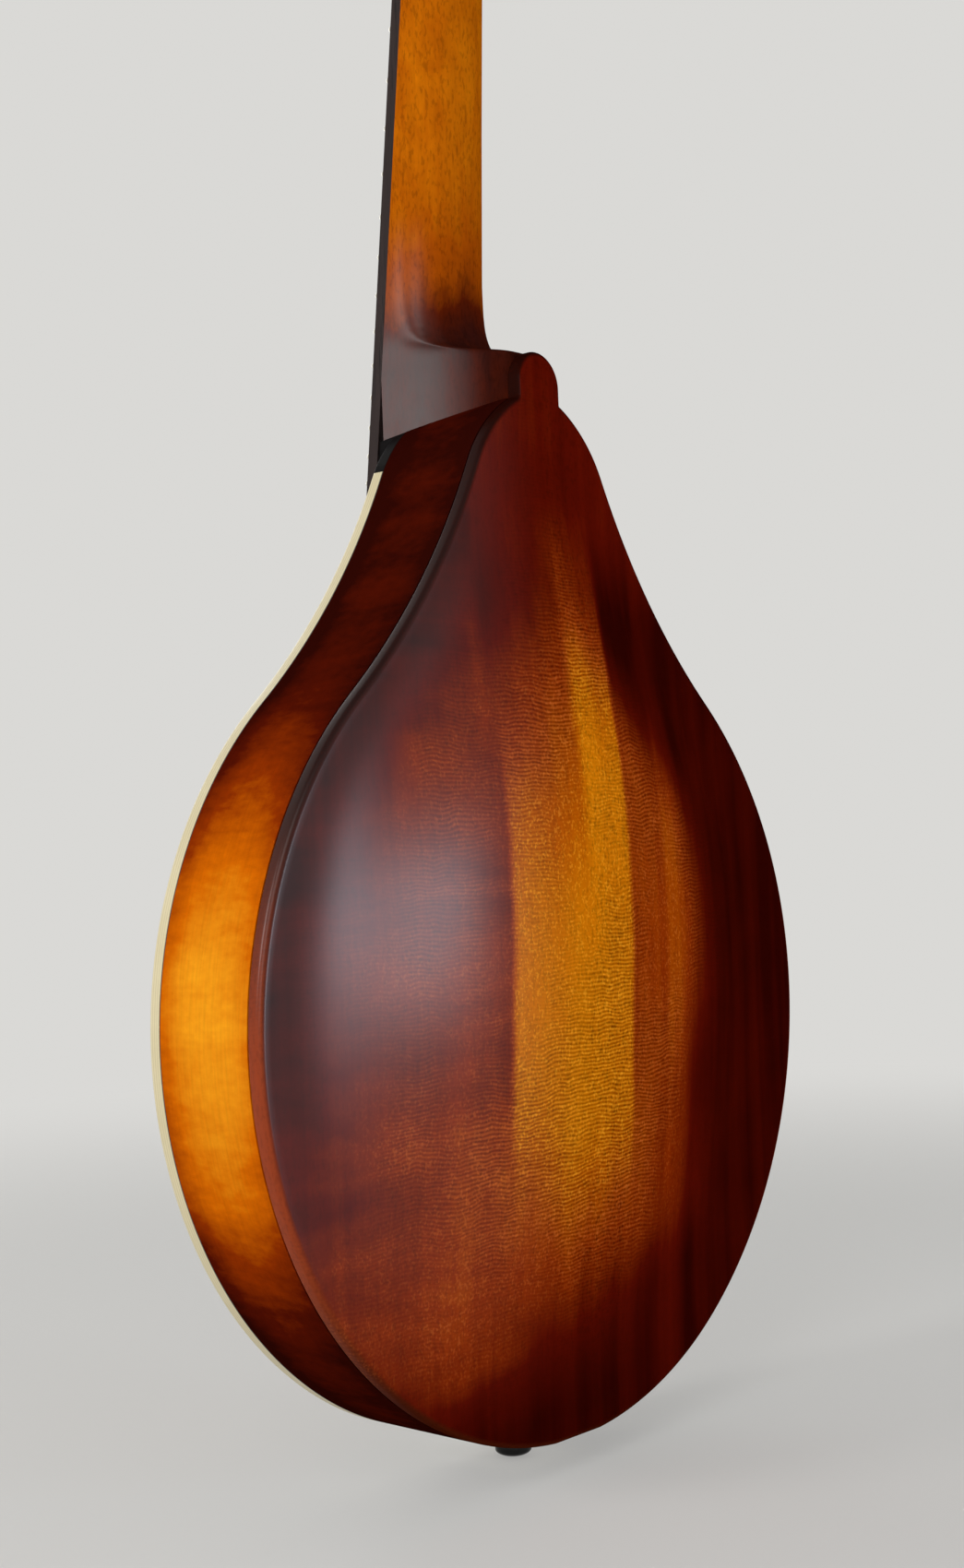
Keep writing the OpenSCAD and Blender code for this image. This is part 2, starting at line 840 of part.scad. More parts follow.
// Post that each string goes to: bass pairs up the bass side, treble pairs up the treble side
function string_post(k) = k < 4 ? 5 + k : 8 - k;
action = 3;
string_y = -board_rise - fret_h - action;
tail_string_y = -13.4;
string_catch = 4;
string_gap = 0.3;
post_top = 9.5;
string_level = 5.4;
function string_path(k) =
    let (r = gauge(k) / 2, n = string_post(k), x_in = post_x - post_d / 2 - string_gap - r)
    [
        [tail_x(k), tail_string_y, tail_l - string_catch],
        [saddle_x(k), string_y - r - run_gap, bridge_z],
        neck_to_body([nut_x(k), nut_string_y - r, 0]),
        neck_to_body([nut_x(k), nut_string_y - r, nut_t]),
        head_to_body([post_side(n) * x_in, -overlay_t - string_level, post_z(n)])
    ];

// A thin round wire of eight sides along a path in planes of equal height
module wire(path, r) {
    ring_solid([
        for (p = path)
            [for (i = [0:7]) p + r * [cos(45 * i), sin(45 * i), 0]]
    ]);
}

module strings_plain() {
    color(STEEL)
        in_body()
            for (k = [4:7])
                wire(string_path(k), gauge(k) / 2);
}

module strings_wound() {
    color(NICKEL)
        in_body()
            for (k = [0:3])
                wire(string_path(k), gauge(k) / 2);
}

// ---- Bridge
stud_x = base_l / 2 - stud_in;
saddle_l = 2 * (stud_x + saddle_over);
base_y = 5.2;
foot_gap = 0.05;
function base_under(x) = top_y(x, bridge_z) - foot_gap;
base_top_y = -top_arch - base_y;
wheel_gap = 1.2;
wheel_y = base_top_y - wheel_gap;
saddle_y = wheel_y - wheel_t - run_gap;

// The base is level in the middle and falls to thin feet over the last part of its length
base_level = 0.72;
base_foot_t = 1.8;
base_steps = 20;
function base_fall(u) =
    u < base_level ? 0 :
    (1 - cos(180 * (u - base_level) / (1 - base_level))) / 2;
function base_over(u) =
    base_top_y + (base_under(base_l / 2) - base_foot_t - base_top_y) * base_fall(u);
BASE_US = [for (k = [-base_steps:base_steps]) k / base_steps];
module bridge_base() {
    n = len(BASE_US);
    color(EBONY)
        in_body()
            translate([0, 0, bridge_z])
                difference() {
                    linear_extrude(height = base_w, center = true)
                        polygon(concat(
                            [for (u = BASE_US) [u * base_l / 2, base_under(u * base_l / 2)]],
                            [for (k = [n - 1:-1:0])
                                [BASE_US[k] * base_l / 2, base_over(abs(BASE_US[k]))]]
                        ));
                    for (s = [-1, 1])
                        translate([s * stud_x, -stud_foot, 0])
                            rotate([90, 0, 0])
                                cylinder(d = stud_d + 2 * pin_gap, h = far);
                }
}

stud_foot = top_arch + 1.2;
stud_up = 5;
stud_bore = 8;
stud_l = stud_up - saddle_y - stud_foot;
module bridge_studs() {
    color(NICKEL)
        in_body()
            for (s = [-1, 1])
                translate([s * stud_x, -stud_foot, bridge_z])
                    rotate([90, 0, 0])
                        cylinder(d = stud_d, h = stud_l);
}

// A wheel with a milled rim, threaded on its stud
mill_depth = 0.35;
mills = 30;
module thumbwheel(s) {
    color(NICKEL)
        in_body()
            translate([s * stud_x, wheel_y, bridge_z])
                rotate([90, 0, 0])
                    difference() {
                        linear_extrude(height = wheel_t)
                            polygon([
                                for (k = [0:2 * mills - 1])
                                    let (r = wheel_d / 2 - (k % 2) * mill_depth, a = 180 * k / mills)
                                    [r * cos(a), r * sin(a)]
                            ]);
                        translate([0, 0, -1])
                            cylinder(d = stud_d + 2 * run_gap, h = wheel_t + 2);
                    }
}

module thumbwheel_treble() {
    thumbwheel(1);
}

module thumbwheel_bass() {
    thumbwheel(-1);
}

// The saddle: thick at its foot, drawn in to a narrow crest under the strings
crest_t = 2.2;
crest_flat = 0.9;
crest_rise = 0.5;
crest_slope = 2;
crest_over = 4;
crest_y = string_y - crest_rise;
saddle_foot_h = 4;
// Heights over the saddle's foot of its end, of its shoulder and of the step beside the stud
saddle_end_h = 3.2;
saddle_shoulder_h = 5;
saddle_step_h = 7;
function saddle_front() =
    let (half = saddle_l / 2, crest = bridge_spread / 2 + crest_over)
    both_sides([
        [half, saddle_y], [half, saddle_y - saddle_end_h],
        [half - 2, saddle_y - saddle_shoulder_h], [stud_x - 4, saddle_y - saddle_step_h],
        [crest + 1, string_y + crest_slope + 0.4], [crest, string_y - crest_rise / 2], [0, crest_y]
    ]);
function saddle_side() =
    both_sides([
        [saddle_t / 2, saddle_y + 1], [saddle_t / 2, saddle_y - saddle_foot_h],
        [crest_t, string_y + crest_slope], [crest_flat / 2, crest_y]
    ]);
module bridge_saddle() {
    color(EBONY)
        in_body()
            translate([0, 0, bridge_z])
                difference() {
                    intersection() {
                        linear_extrude(height = saddle_t, center = true)
                            polygon(saddle_front());
                        rotate([0, 90, 0])
                            linear_extrude(height = saddle_l + 2, center = true)
                                polygon(saddle_side());
                    }
                    for (s = [-1, 1])
                        translate([s * stud_x, saddle_y + 1, 0])
                            rotate([90, 0, 0])
                                cylinder(d = stud_d + 2 * run_gap, h = stud_bore + 1);
                    for (k = [0:7])
                        translate([saddle_x(k), string_y - gauge(k) / 2, 0])
                            cylinder(r = gauge(k) / 2 + run_gap, h = far, center = true, $fn = 24);
                }
}

// ---- Tailpiece: a plate on the tail, bent over the edge of the top and cast on to its string end
tail_plate_d = 33;
tail_screw_d = 2.6;
strap_screw_d = 4;
TAIL_SCREWS = [[-10, 7], [10, 7], [0, 29]];
tail_screw_l = 12;
tail_head_d = 4.6;
tail_head_t = 1;
// Holes through the tail's plate, the ribs and the block for the strap button and the screws
module tail_holes() {
    translate([0, strap_y, -strap_plate_t - 1])
        cylinder(d = strap_screw_d + 2 * pin_gap, h = block_d + strap_plate_t + 2);
    for (p = TAIL_SCREWS)
        translate([p[0], p[1], -strap_plate_t - 1])
            cylinder(d = tail_screw_d + 2 * pin_gap, h = tail_screw_l + 1);
}

// Side view of the tailpiece, [height up the body, depth]: up the plate's outside, over the
// edge of the top and along the cast cover to its lip, then back along the inside
lip_t = 3;
function cover_depth(u) = -4.2 - 16.8 * pow(u, 0.62) + 4 * pow(u, 4);
module tail_profile() {
    t = strap_plate_t;
    polygon([
        [0, tail_plate_d], [-t, tail_plate_d], [-t, -1], [t / 2 - t, -3.4],
        for (u = [0.04, 0.1, 0.3, 0.6, 0.87, 0.96]) [tail_l * u, cover_depth(u)],
        [tail_l, cover_depth(1) + 2], [tail_l, cover_depth(1) + 2 + lip_t],
        [tail_l - lip_t, -10.6], [tail_l * 0.6, -9.6],
        [tail_l * 0.3, -6.6], [5, -3], [2, -1.4], [0, -0.2]
    ]);
}

// Plan of the tailpiece: the narrow plate on the tail widens to the cover's string end
module tail_plan() {
    polygon(both_sides([
        [tail_plate_w / 2, -5], [tail_plate_w / 2, 8], [tail_plate_w / 2 + 1, 16],
        [tail_w / 2 - 1.5, tail_l * 0.6], [tail_w / 2, tail_l - 8],
        [tail_w / 2 - 1, tail_l - 2], [tail_w / 2 - 4, tail_l]
    ]));
}

// A slot for each string in the lip of the cover
slot_side = 0.3;
slot_d = 8;
module tailpiece() {
    color(NICKEL)
        in_body()
            difference() {
                intersection() {
                    rotate([0, -90, 0])
                        linear_extrude(height = tail_w + 2, center = true)
                            tail_profile();
                    slab(-far, tail_plate_d + 1)
                        tail_plan();
                }
                for (k = [0:7])
                    let (w = gauge(k) + 2 * slot_side)
                    translate([tail_x(k) - w / 2, tail_string_y - 1.2, tail_l - slot_d + 1])
                        cube([w, slot_d, slot_d]);
                tail_holes();
            }
}

module tailpiece_screws() {
    color(STEEL)
        in_body()
            for (p = TAIL_SCREWS)
                translate([p[0], p[1], -strap_plate_t])
                    union() {
                        cylinder(d = tail_screw_d, h = tail_screw_l);
                        translate([0, 0, -tail_head_t])
                            cylinder(d = tail_head_d, h = tail_head_t);
                    }
}

// ---- Strap button: a dome, a straight band, a waist and a flared foot, on its own screw
strap_low = -strap_dome - strap_band / 2;
strap_foot = strap_low + strap_h;
strap_neck = strap_band / 2 + 1.4;
strap_screw_l = 14;
waist_in = 2.3;
waist_hollow = 0.6;
waist_flare = 1.4;
function strap_waist(u) =
    strap_d / 2 - waist_in - waist_hollow * sin(180 * u) + waist_flare * pow(u, 3);
module strap_button() {
    r = strap_d / 2;
    color(EBONY)
        rotate_extrude()
            polygon(concat(
                [[0, strap_low]],
                [for (a = [15:15:90]) [r * sin(a), strap_low + strap_dome * (1 - cos(a))]],
                [[r, strap_band / 2], [r - 1.2, strap_band / 2 + 0.9]],
                [for (k = [0:6])
                    let (u = k / 6)
                    [strap_waist(u), strap_neck + (strap_foot - strap_neck) * u]],
                [[strap_screw_d / 2, strap_foot], [strap_screw_d / 2, strap_foot + strap_screw_l]],
                [[0, strap_foot + strap_screw_l]]
            ));
}

// ---- Tuning machines
// Depths are measured from the back of the headstock
worm_y = 3.7;
wheel_face = 2.2;
wheel_pitch_r = worm_pitch * wheel_teeth / (2 * PI);
tooth_top = 0.5;
tooth_root = 0.62;
mesh_z = wheel_pitch_r + worm_d / 2;
worm_l = 7.2;
tab_t = 1.3;
tab_gap = 0.25;
tab_w = 5.6;
tab_x = worm_l / 2 + tab_gap;
key_gap = 4.5;
plate_w = 15.5;
plate_end = 11;
plate_corner = 3;

module tuner_plate(side) {
    z0 = plate_z0;
    z1 = plate_z1;
    c = plate_corner;
    color(NICKEL)
        in_head()
            translate([0, head_t, 0])
                difference() {
                    union() {
                        slab(0, plate_t)
                            translate([side * post_x, 0])
                                polygon([
                                    [-plate_w / 2, z0 + c], [-plate_w / 2 + c, z0],
                                    [plate_w / 2 - c, z0], [plate_w / 2, z0 + c],
                                    [plate_w / 2, z1 - c], [plate_w / 2 - c, z1],
                                    [-plate_w / 2 + c, z1], [-plate_w / 2, z1 - c]
                                ]);
                        for (k = [0:3])
                            for (s = [-1, 1])
                                translate([
                                    side * post_x + s * (tab_x + tab_t / 2),
                                    0,
                                    post_first + k * post_step - mesh_z
                                ])
                                    bearing_tab();
                    }
                    for (k = [0:3])
                        translate([side * post_x, -1, post_first + k * post_step])
                            rotate([-90, 0, 0])
                                cylinder(d = post_d + 2 * run_gap, h = plate_t + 2);
                    plate_screws(side, plate_t + 2, -1);
                    for (k = [0:3])
                        translate([side * post_x, worm_y + plate_t, post_first + k * post_step - mesh_z])
                            rotate([0, 90, 0])
                                cylinder(d = shaft_d + 2 * run_gap, h = 30, center = true);
                }
}

module bearing_tab() {
    y = worm_y + plate_t;
    translate([-tab_t / 2, plate_t / 2, -tab_w / 2])
        cube([tab_t, y - plate_t / 2, tab_w]);
    translate([-tab_t / 2, y, 0])
        rotate([0, 90, 0])
            cylinder(d = tab_w, h = tab_t);
}

// Screws of a plate: one at each end and one between each two machines
plate_z0 = post_first - mesh_z - plate_end;
plate_z1 = post_first + 3 * post_step + plate_end;
screw_end = 4;
PLATE_SCREWS = concat(
    [plate_z0 + screw_end],
    [for (k = [0:2]) post_first + post_step * (k + 0.4)],
    [plate_z1 - screw_end]
);
plate_screw_d = 2;
module plate_screws(side, h, y) {
    for (z = PLATE_SCREWS)
        translate([side * post_x, y, z])
            rotate([-90, 0, 0])
                cylinder(d = plate_screw_d, h = h);
}

module tuner_plate_treble() {
    tuner_plate(1);
}

module tuner_plate_bass() {
    tuner_plate(-1);
}

bush_rim = 1.2;
bush_rim_t = 0.9;
bush_l = 9;
module post_bushings() {
    color(NICKEL)
        in_head()
            for (n = [1:8])
                translate([post_side(n) * post_x, -overlay_t - bush_rim_t, post_z(n)])
                    rotate([-90, 0, 0])
                        difference() {
                            union() {
                                cylinder(d = bush_d + 2 * bush_rim, h = bush_rim_t);
                                cylinder(d = bush_d, h = bush_l);
                            }
                            translate([0, 0, -1])
                                cylinder(d = post_d + 2 * run_gap, h = bush_l + 2);
                        }
}

screw_head_d = 3.6;
screw_head_t = 1;
module round_screw(h) {
    rotate([-90, 0, 0])
        union() {
            cylinder(d = plate_screw_d, h = h);
            translate([0, 0, -screw_head_t])
                cylinder(d = screw_head_d, h = screw_head_t);
        }
}

module headstock_screws() {
    color(NICKEL)
        in_head() {
            for (side = [-1, 1])
                for (z = PLATE_SCREWS)
                    translate([side * post_x, head_t + plate_t, z])
                        mirror([0, 1, 0])
                            round_screw(plate_t + screw_bite);
            translate([0, -overlay_t - cover_t, cover_screw_z])
                round_screw(cover_screw_l);
        }
}

// One thread of the worm, wound about X, its crest over the middle of the worm
thread_half = 0.35;
thread_lean = tan(20);
worm_core_r = worm_d / 2 - tooth_root;
thread_sink = 0.12;
thread_turns = 2.75;
thread_steps = 14;
module worm_thread() {
    count = thread_steps * thread_turns;
    r_in = worm_core_r - thread_sink;
    r_out = worm_d / 2 + tooth_top;
    half_in = thread_half + (worm_d / 2 - r_in) * thread_lean;
    half_out = thread_half - tooth_top * thread_lean;
    ring_solid([
        for (i = [0:count])
            let (a = 360 * (i - count / 2) / thread_steps, x = worm_pitch * a / 360, t = 90 + a)
            [for (p = [[half_in, r_in], [half_out, r_out], [-half_out, r_out], [-half_in, r_in]])
                [x + p[0], p[1] * cos(t), p[1] * sin(t)]]
    ]);
}

module at_worm(n) {
    in_head()
        translate([post_side(n) * post_x, head_t + plate_t + worm_y, post_z(n) - mesh_z])
            children();
}

key_x = head_w / 2 - post_x + key_gap;
key_t = 7;
// How far the shaft runs past its inner bearing, and up the button
shaft_past = 0.9;
shaft_up = 0.7;
shaft_in = tab_x + tab_t + shaft_past;
module along_x(x0, x1, d, sides) {
    translate([min(x0, x1), 0, 0])
        rotate([0, 90, 0])
            cylinder(d = d, h = abs(x1 - x0), $fn = sides);
}

module worm_shaft(n) {
    s = post_side(n);
    color(STEEL)
        at_worm(n)
            union() {
                worm_thread();
                along_x(-worm_l / 2, worm_l / 2, 2 * worm_core_r, thread_steps);
                along_x(-s * shaft_in, s * (key_x + key_l * shaft_up), shaft_d, 48);
            }
}

// A key's button: a rounded, flattened oval on a short round stem
key_sides = 12;
key_end = 76;
KEY_TURNS = [-key_end, -56, -30, 0, 30, 56, key_end];
module tuning_button(n) {
    s = post_side(n);
    color(CREAM)
        at_worm(n)
            translate([s * (key_x + key_l / 2), 0, 0])
                difference() {
                    ring_solid([
                        for (u = KEY_TURNS)
                            let (r = pow(cos(u), 0.55))
                            [for (i = [0:key_sides - 1])
                                let (a = 360 * i / key_sides)
                                [
                                    key_l / 2 * sin(u) / sin(key_end),
                                    key_t / 2 * r * cos(a),
                                    key_w / 2 * r * sin(a)
                                ]]
                    ]);
                    along_x(-s * (key_l / 2 + 1), s * key_l * (shaft_up - 0.5), shaft_d, 48);
                }
}

// ---- String posts: the post itself, its worm wheel and the screw that holds the wheel
wheel_bore = 3.4;
collar_d = 7.4;
wheel_lift = worm_y - wheel_face / 2;
waist_r = post_d / 2 - 0.45;
tip_r = 0.8;
hole_d = 1.6;
// The screw on each post's end and its slot
post_screw_d = 5;
post_screw_t = 1.3;
slot_w = 0.8;
module worm_wheel() {
    r_out = wheel_pitch_r + tooth_top;
    r_root = wheel_pitch_r - tooth_root;
    a_root = (thread_half + tooth_root * thread_lean * 0.6) / r_root * 180 / PI;
    a_out = (thread_half - tooth_top * thread_lean * 0.9) / r_out * 180 / PI;
    step = 360 / wheel_teeth;
    difference() {
        slab(0, wheel_face)
            polygon([
                for (i = [0:wheel_teeth - 1])
                    let (a = -90 + step * (i + 0.5))
                    for (p = [[r_root, -a_root], [r_out, -a_out], [r_out, a_out], [r_root, a_root]])
                        p[0] * [cos(a + p[1]), sin(a + p[1])]
            ]);
        translate([0, -1, 0])
            rotate([-90, 0, 0])
                cylinder(d = wheel_bore, h = wheel_face + 2);
    }
}

module string_post(n) {
    seat = head_t + plate_t + run_gap;
    wheel_in = head_t + plate_t + wheel_lift;
    wheel_out = wheel_in + wheel_face;
    tip = -overlay_t - post_top;
    hole_y = -overlay_t - string_level;
    r = post_d / 2;
    color(NICKEL)
        in_head()
            translate([post_side(n) * post_x, 0, post_z(n)]) {
                difference() {
                    rotate([-90, 0, 0])
                        rotate_extrude()
                            polygon([
                                [0, tip], [r - tip_r, tip], [r, tip + tip_r], [r, hole_y - 2.2],
                                [waist_r, hole_y - 1.5], [waist_r, hole_y + 1.5], [r, hole_y + 2.2],
                                [r, seat], [collar_d / 2, seat], [collar_d / 2, wheel_in],
                                [wheel_bore / 2, wheel_in], [wheel_bore / 2, wheel_out], [0, wheel_out]
                            ]);
                    translate([0, hole_y, -post_d])
                        cylinder(d = hole_d, h = 2 * post_d);
                }
                translate([0, wheel_in, 0])
                    worm_wheel();
                translate([0, wheel_out, 0])
                    rotate([-90, 0, 0])
                        difference() {
                            cylinder(d = post_screw_d, h = post_screw_t);
                            translate([-post_screw_d, -slot_w / 2, post_screw_t / 2])
                                cube([2 * post_screw_d, slot_w, post_screw_t]);
                        }
            }
}

module tuning_button_1() {
    tuning_button(1);
}

module worm_shaft_1() {
    worm_shaft(1);
}

module string_post_1() {
    string_post(1);
}

module tuning_button_2() {
    tuning_button(2);
}

module worm_shaft_2() {
    worm_shaft(2);
}

module string_post_2() {
    string_post(2);
}

module tuning_button_3() {
    tuning_button(3);
}

module worm_shaft_3() {
    worm_shaft(3);
}

module string_post_3() {
    string_post(3);
}

module tuning_button_4() {
    tuning_button(4);
}

module worm_shaft_4() {
    worm_shaft(4);
}

module string_post_4() {
    string_post(4);
}

module tuning_button_5() {
    tuning_button(5);
}

module worm_shaft_5() {
    worm_shaft(5);
}

module string_post_5() {
    string_post(5);
}

module tuning_button_6() {
    tuning_button(6);
}

module worm_shaft_6() {
    worm_shaft(6);
}

module string_post_6() {
    string_post(6);
}

module tuning_button_7() {
    tuning_button(7);
}

module worm_shaft_7() {
    worm_shaft(7);
}

module string_post_7() {
    string_post(7);
}

module tuning_button_8() {
    tuning_button(8);
}

module worm_shaft_8() {
    worm_shaft(8);
}

module string_post_8() {
    string_post(8);
}

soundboard();
back_plate();
side_treble();
side_bass();
top_binding();
linings();
neck_block();
tail_block();
tone_bars();
neck();
fretboard_support();
headstock_overlay();
fretboard();
frets();
fret_dots();
nut();
truss_rod();
truss_rod_cover();
tuner_plate_treble();
tuner_plate_bass();
headstock_screws();
post_bushings();
bridge_base();
bridge_studs();
tailpiece();
tailpiece_screws();
strap_button();
strings_plain();
strings_wound();
truss_rod_nut();
bridge_saddle();
thumbwheel_treble();
thumbwheel_bass();
tuning_button_1();
tuning_button_2();
tuning_button_3();
tuning_button_4();
tuning_button_5();
tuning_button_6();
tuning_button_7();
tuning_button_8();
worm_shaft_1();
worm_shaft_2();
worm_shaft_3();
worm_shaft_4();
worm_shaft_5();
worm_shaft_6();
worm_shaft_7();
worm_shaft_8();
string_post_1();
string_post_2();
string_post_3();
string_post_4();
string_post_5();
string_post_6();
string_post_7();
string_post_8();
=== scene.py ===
"""Teardrop mandolin with carved plates, dressed for studio pictures.

Laid out as an add-on: property groups hold the sizes and colours, one operator makes each
piece or group of like pieces, a sidebar panel lists them, and main() runs them in order.
Lengths are worked out in millimetres in the body's frame (x to the treble side, y from the
face of the top's edge to the back, z up from the tail) and put into the mesh in metres.
"""

import itertools
import math

import bmesh
import bpy
import numpy as np
from mathutils import Matrix, Vector


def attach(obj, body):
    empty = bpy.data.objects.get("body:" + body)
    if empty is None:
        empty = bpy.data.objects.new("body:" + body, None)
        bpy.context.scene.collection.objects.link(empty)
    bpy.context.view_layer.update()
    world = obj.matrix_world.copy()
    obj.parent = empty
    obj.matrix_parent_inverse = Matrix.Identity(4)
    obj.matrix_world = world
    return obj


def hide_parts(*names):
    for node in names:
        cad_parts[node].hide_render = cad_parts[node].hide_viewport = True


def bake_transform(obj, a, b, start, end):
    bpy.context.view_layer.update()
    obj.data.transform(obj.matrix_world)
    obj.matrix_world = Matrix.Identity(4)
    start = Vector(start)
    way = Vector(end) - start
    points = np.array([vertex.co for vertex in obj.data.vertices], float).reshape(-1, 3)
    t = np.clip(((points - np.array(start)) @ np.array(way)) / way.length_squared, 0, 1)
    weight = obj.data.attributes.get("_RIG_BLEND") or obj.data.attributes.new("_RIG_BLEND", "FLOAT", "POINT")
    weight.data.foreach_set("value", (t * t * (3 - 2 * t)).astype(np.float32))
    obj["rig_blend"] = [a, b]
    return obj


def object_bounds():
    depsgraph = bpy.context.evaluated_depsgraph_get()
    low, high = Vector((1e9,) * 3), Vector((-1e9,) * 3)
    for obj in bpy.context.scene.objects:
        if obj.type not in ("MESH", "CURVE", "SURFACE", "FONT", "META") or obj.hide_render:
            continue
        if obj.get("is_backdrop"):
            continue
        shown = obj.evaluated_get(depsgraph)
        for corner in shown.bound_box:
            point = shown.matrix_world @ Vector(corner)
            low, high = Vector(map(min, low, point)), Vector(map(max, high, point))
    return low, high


bl_info = {
    "name": "Carved mandolin",
    "version": (1, 0, 0),
    "blender": (4, 5, 0),
    "location": "3D View > Sidebar > Mandolin",
    "description": "Builds and finishes the pieces of a carved teardrop mandolin",
    "category": "Object",
}

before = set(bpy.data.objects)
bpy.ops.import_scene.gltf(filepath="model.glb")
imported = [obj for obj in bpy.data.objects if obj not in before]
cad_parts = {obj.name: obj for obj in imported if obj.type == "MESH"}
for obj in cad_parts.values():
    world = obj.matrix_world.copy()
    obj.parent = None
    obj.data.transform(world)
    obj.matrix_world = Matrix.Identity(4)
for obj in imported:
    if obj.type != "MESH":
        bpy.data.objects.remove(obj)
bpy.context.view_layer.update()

# ---------------------------------------------------------------- sizes of the solids, in mm
BODY_W, BODY_L, BODY_D = 254.0, 326.0, 46.6
RIB_T, TOP_EDGE, BINDING_W, BACK_EDGE = 2.4, 4.5, 1.8, 5.3
TOP_ARCH, BACK_ARCH, PLATE_MID, PLATE_THIN = 13.0, 13.5, 4.2, 3.0
SUPPORT_L = 20.0
TOP_END_Z = BODY_L - SUPPORT_L
ARCS = ((121.5, 36.0), (134.5, 101.5), (232.0, -22.5), (46.0, 38.5))
BRIDGE_Z, SCALE_L, NECK_ANGLE, BOARD_RISE = 158.0, 352.0, 5.4, 25.3
FRET_COUNT, FRET_W, FRET_H = 20, 2.0, 1.0
NUT_W, NUT_T, BOARD_END_W, BOARD_T = 28.6, 4.6, 43.6, 4.2
NECK_T, NECK_GROWTH, BUTTON_W, BUTTON_L = 14.3, 4.2, 18.4, 15.0
HEAD_ANGLE, HEAD_L, HEAD_W, HEAD_T, OVERLAY_T = 14.0, 142.0, 63.0, 13.5, 2.0
HEAD_FLARE, HEAD_DRAW, HEAD_CROWN = 26.0, 4.0, 9.0
POST_STEP, POST_FIRST, POST_X, POST_D = 23.0, 34.0, 19.5, 6.0
PLATE_T, WHEEL_TEETH, WORM_PITCH, WORM_D = 1.2, 14, 2.0, 4.8
KEY_W, KEY_L, KEY_T, KEY_GAP, WORM_Y = 14.0, 12.0, 7.0, 4.5, 3.7
STRAP_D, STRAP_H, STRAP_DOME, STRAP_BAND, STRAP_Y = 11.8, 8.4, 2.2, 2.2, 18.0
TAIL_PLATE_T, TAIL_L = 1.6, 64.0
FHOLE_L, FHOLE_W, FHOLE_TILT, FHOLE_X, FHOLE_EYE = 80.0, 6.4, 7.0, 60.0, 4.4
GAUGES = (1.02, 0.66, 0.38, 0.28)
RUN_GAP = 0.05

TAIL_Z = STRAP_H - STRAP_DOME - STRAP_BAND / 2 + TAIL_PLATE_T
RIB_Y0, RIB_Y1 = TOP_EDGE, BODY_D - BACK_EDGE
NUT_Y = -BOARD_RISE + SCALE_L * math.sin(math.radians(NECK_ANGLE))
NUT_Z = BRIDGE_Z + SCALE_L * math.cos(math.radians(NECK_ANGLE))
HEEL_Y, HEEL_Z = RIB_Y1, BODY_L + BUTTON_L
BOARD_L = SCALE_L * (1 - 2 ** (-FRET_COUNT / 12)) + 4
MESH_Z = WORM_PITCH * WHEEL_TEETH / (2 * math.pi) + WORM_D / 2
DOME = np.array([0.0, BRIDGE_Z])
MM = 0.001


# ---------------------------------------------------------------- frames
def to_frame(p):
    """Millimetres in the body's frame to metres in the part's frame: a shift, then the scale."""
    return (np.asarray(p, float) + np.array([0, -STRAP_Y, TAIL_Z])) * MM


def roll(p, degrees):
    """Turns points about x: y' = y cos a - z sin a, z' = y sin a + z cos a."""
    a = math.radians(degrees)
    p = np.asarray(p, float)
    y = p[..., 1] * math.cos(a) - p[..., 2] * math.sin(a)
    z = p[..., 1] * math.sin(a) + p[..., 2] * math.cos(a)
    return np.stack([p[..., 0], y, z], -1)


def neck_to_body(p):
    """Points of the neck's frame, whose origin is at the nut, in the body's frame."""
    return roll(p, -NECK_ANGLE) + np.array([0, NUT_Y, NUT_Z])


def head_to_body(p):
    """Points of the tilted headstock's frame in the body's frame."""
    return neck_to_body(roll(p, -HEAD_ANGLE) + np.array([0, BOARD_T, NUT_T]))


def head_to_frame(p):
    """Points of the headstock's frame in the part's frame, in metres."""
    return to_frame(head_to_body(p))


# ---------------------------------------------------------------- mesh making
def mesh_of(name, points, faces):
    """A mesh from points and faces."""
    mesh = bpy.data.meshes.new(name)
    mesh.from_pydata([tuple(p) for p in points], [], [tuple(f) for f in faces])
    return mesh


def link_object(name, data):
    """A new object, linked to the collection."""
    made = bpy.data.objects.new(name, data)
    bpy.context.collection.objects.link(made)
    return made


def shade_smooth(mesh, angle):
    """Shades a mesh smooth, with sharp edges above an angle in degrees."""
    mesh.polygons.foreach_set("use_smooth", np.ones(len(mesh.polygons), bool))
    mesh.set_sharp_from_angle(angle=math.radians(angle))


def turn_outwards(mesh):
    """Turns the faces of a mesh's closed shells outwards."""
    work = bmesh.new()
    work.from_mesh(mesh)
    bmesh.ops.recalc_face_normals(work, faces=work.faces[:])
    work.to_mesh(mesh)
    work.free()


def mesh_piece(name, points, faces, body="mandolin", smooth=30.0, attributes=()):
    """Puts points (metres) and faces into a new object, shades it smooth below an edge angle,
    and rides it on a body, if one is named. Faces of a closed shell are turned outwards."""
    mesh = mesh_of(name, points, faces)
    for label, values in attributes:
        slot = mesh.attributes.new(label, "FLOAT", "POINT")
        slot.data.foreach_set("value", np.asarray(values, np.float32).ravel())
    turn_outwards(mesh)
    shade_smooth(mesh, smooth)
    mesh.update()
    piece = link_object(name, mesh)
    if body:
        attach(piece, body)
    return piece


def grid_faces(rows, cols, start=0):
    """Quads between the rows of a grid of points, each row a closed ring."""
    r, c = np.meshgrid(np.arange(rows - 1), np.arange(cols), indexing="ij")
    here, ahead = r * cols + c, r * cols + (c + 1) % cols
    quads = np.stack([here, ahead, ahead + cols, here + cols], -1)
    return (quads.reshape(-1, 4) + start).tolist()


def grid_of(x, y, z):
    """A grid of points from coordinates that are spread to a common shape."""
    return np.stack(np.broadcast_arrays(x, y, z), -1)


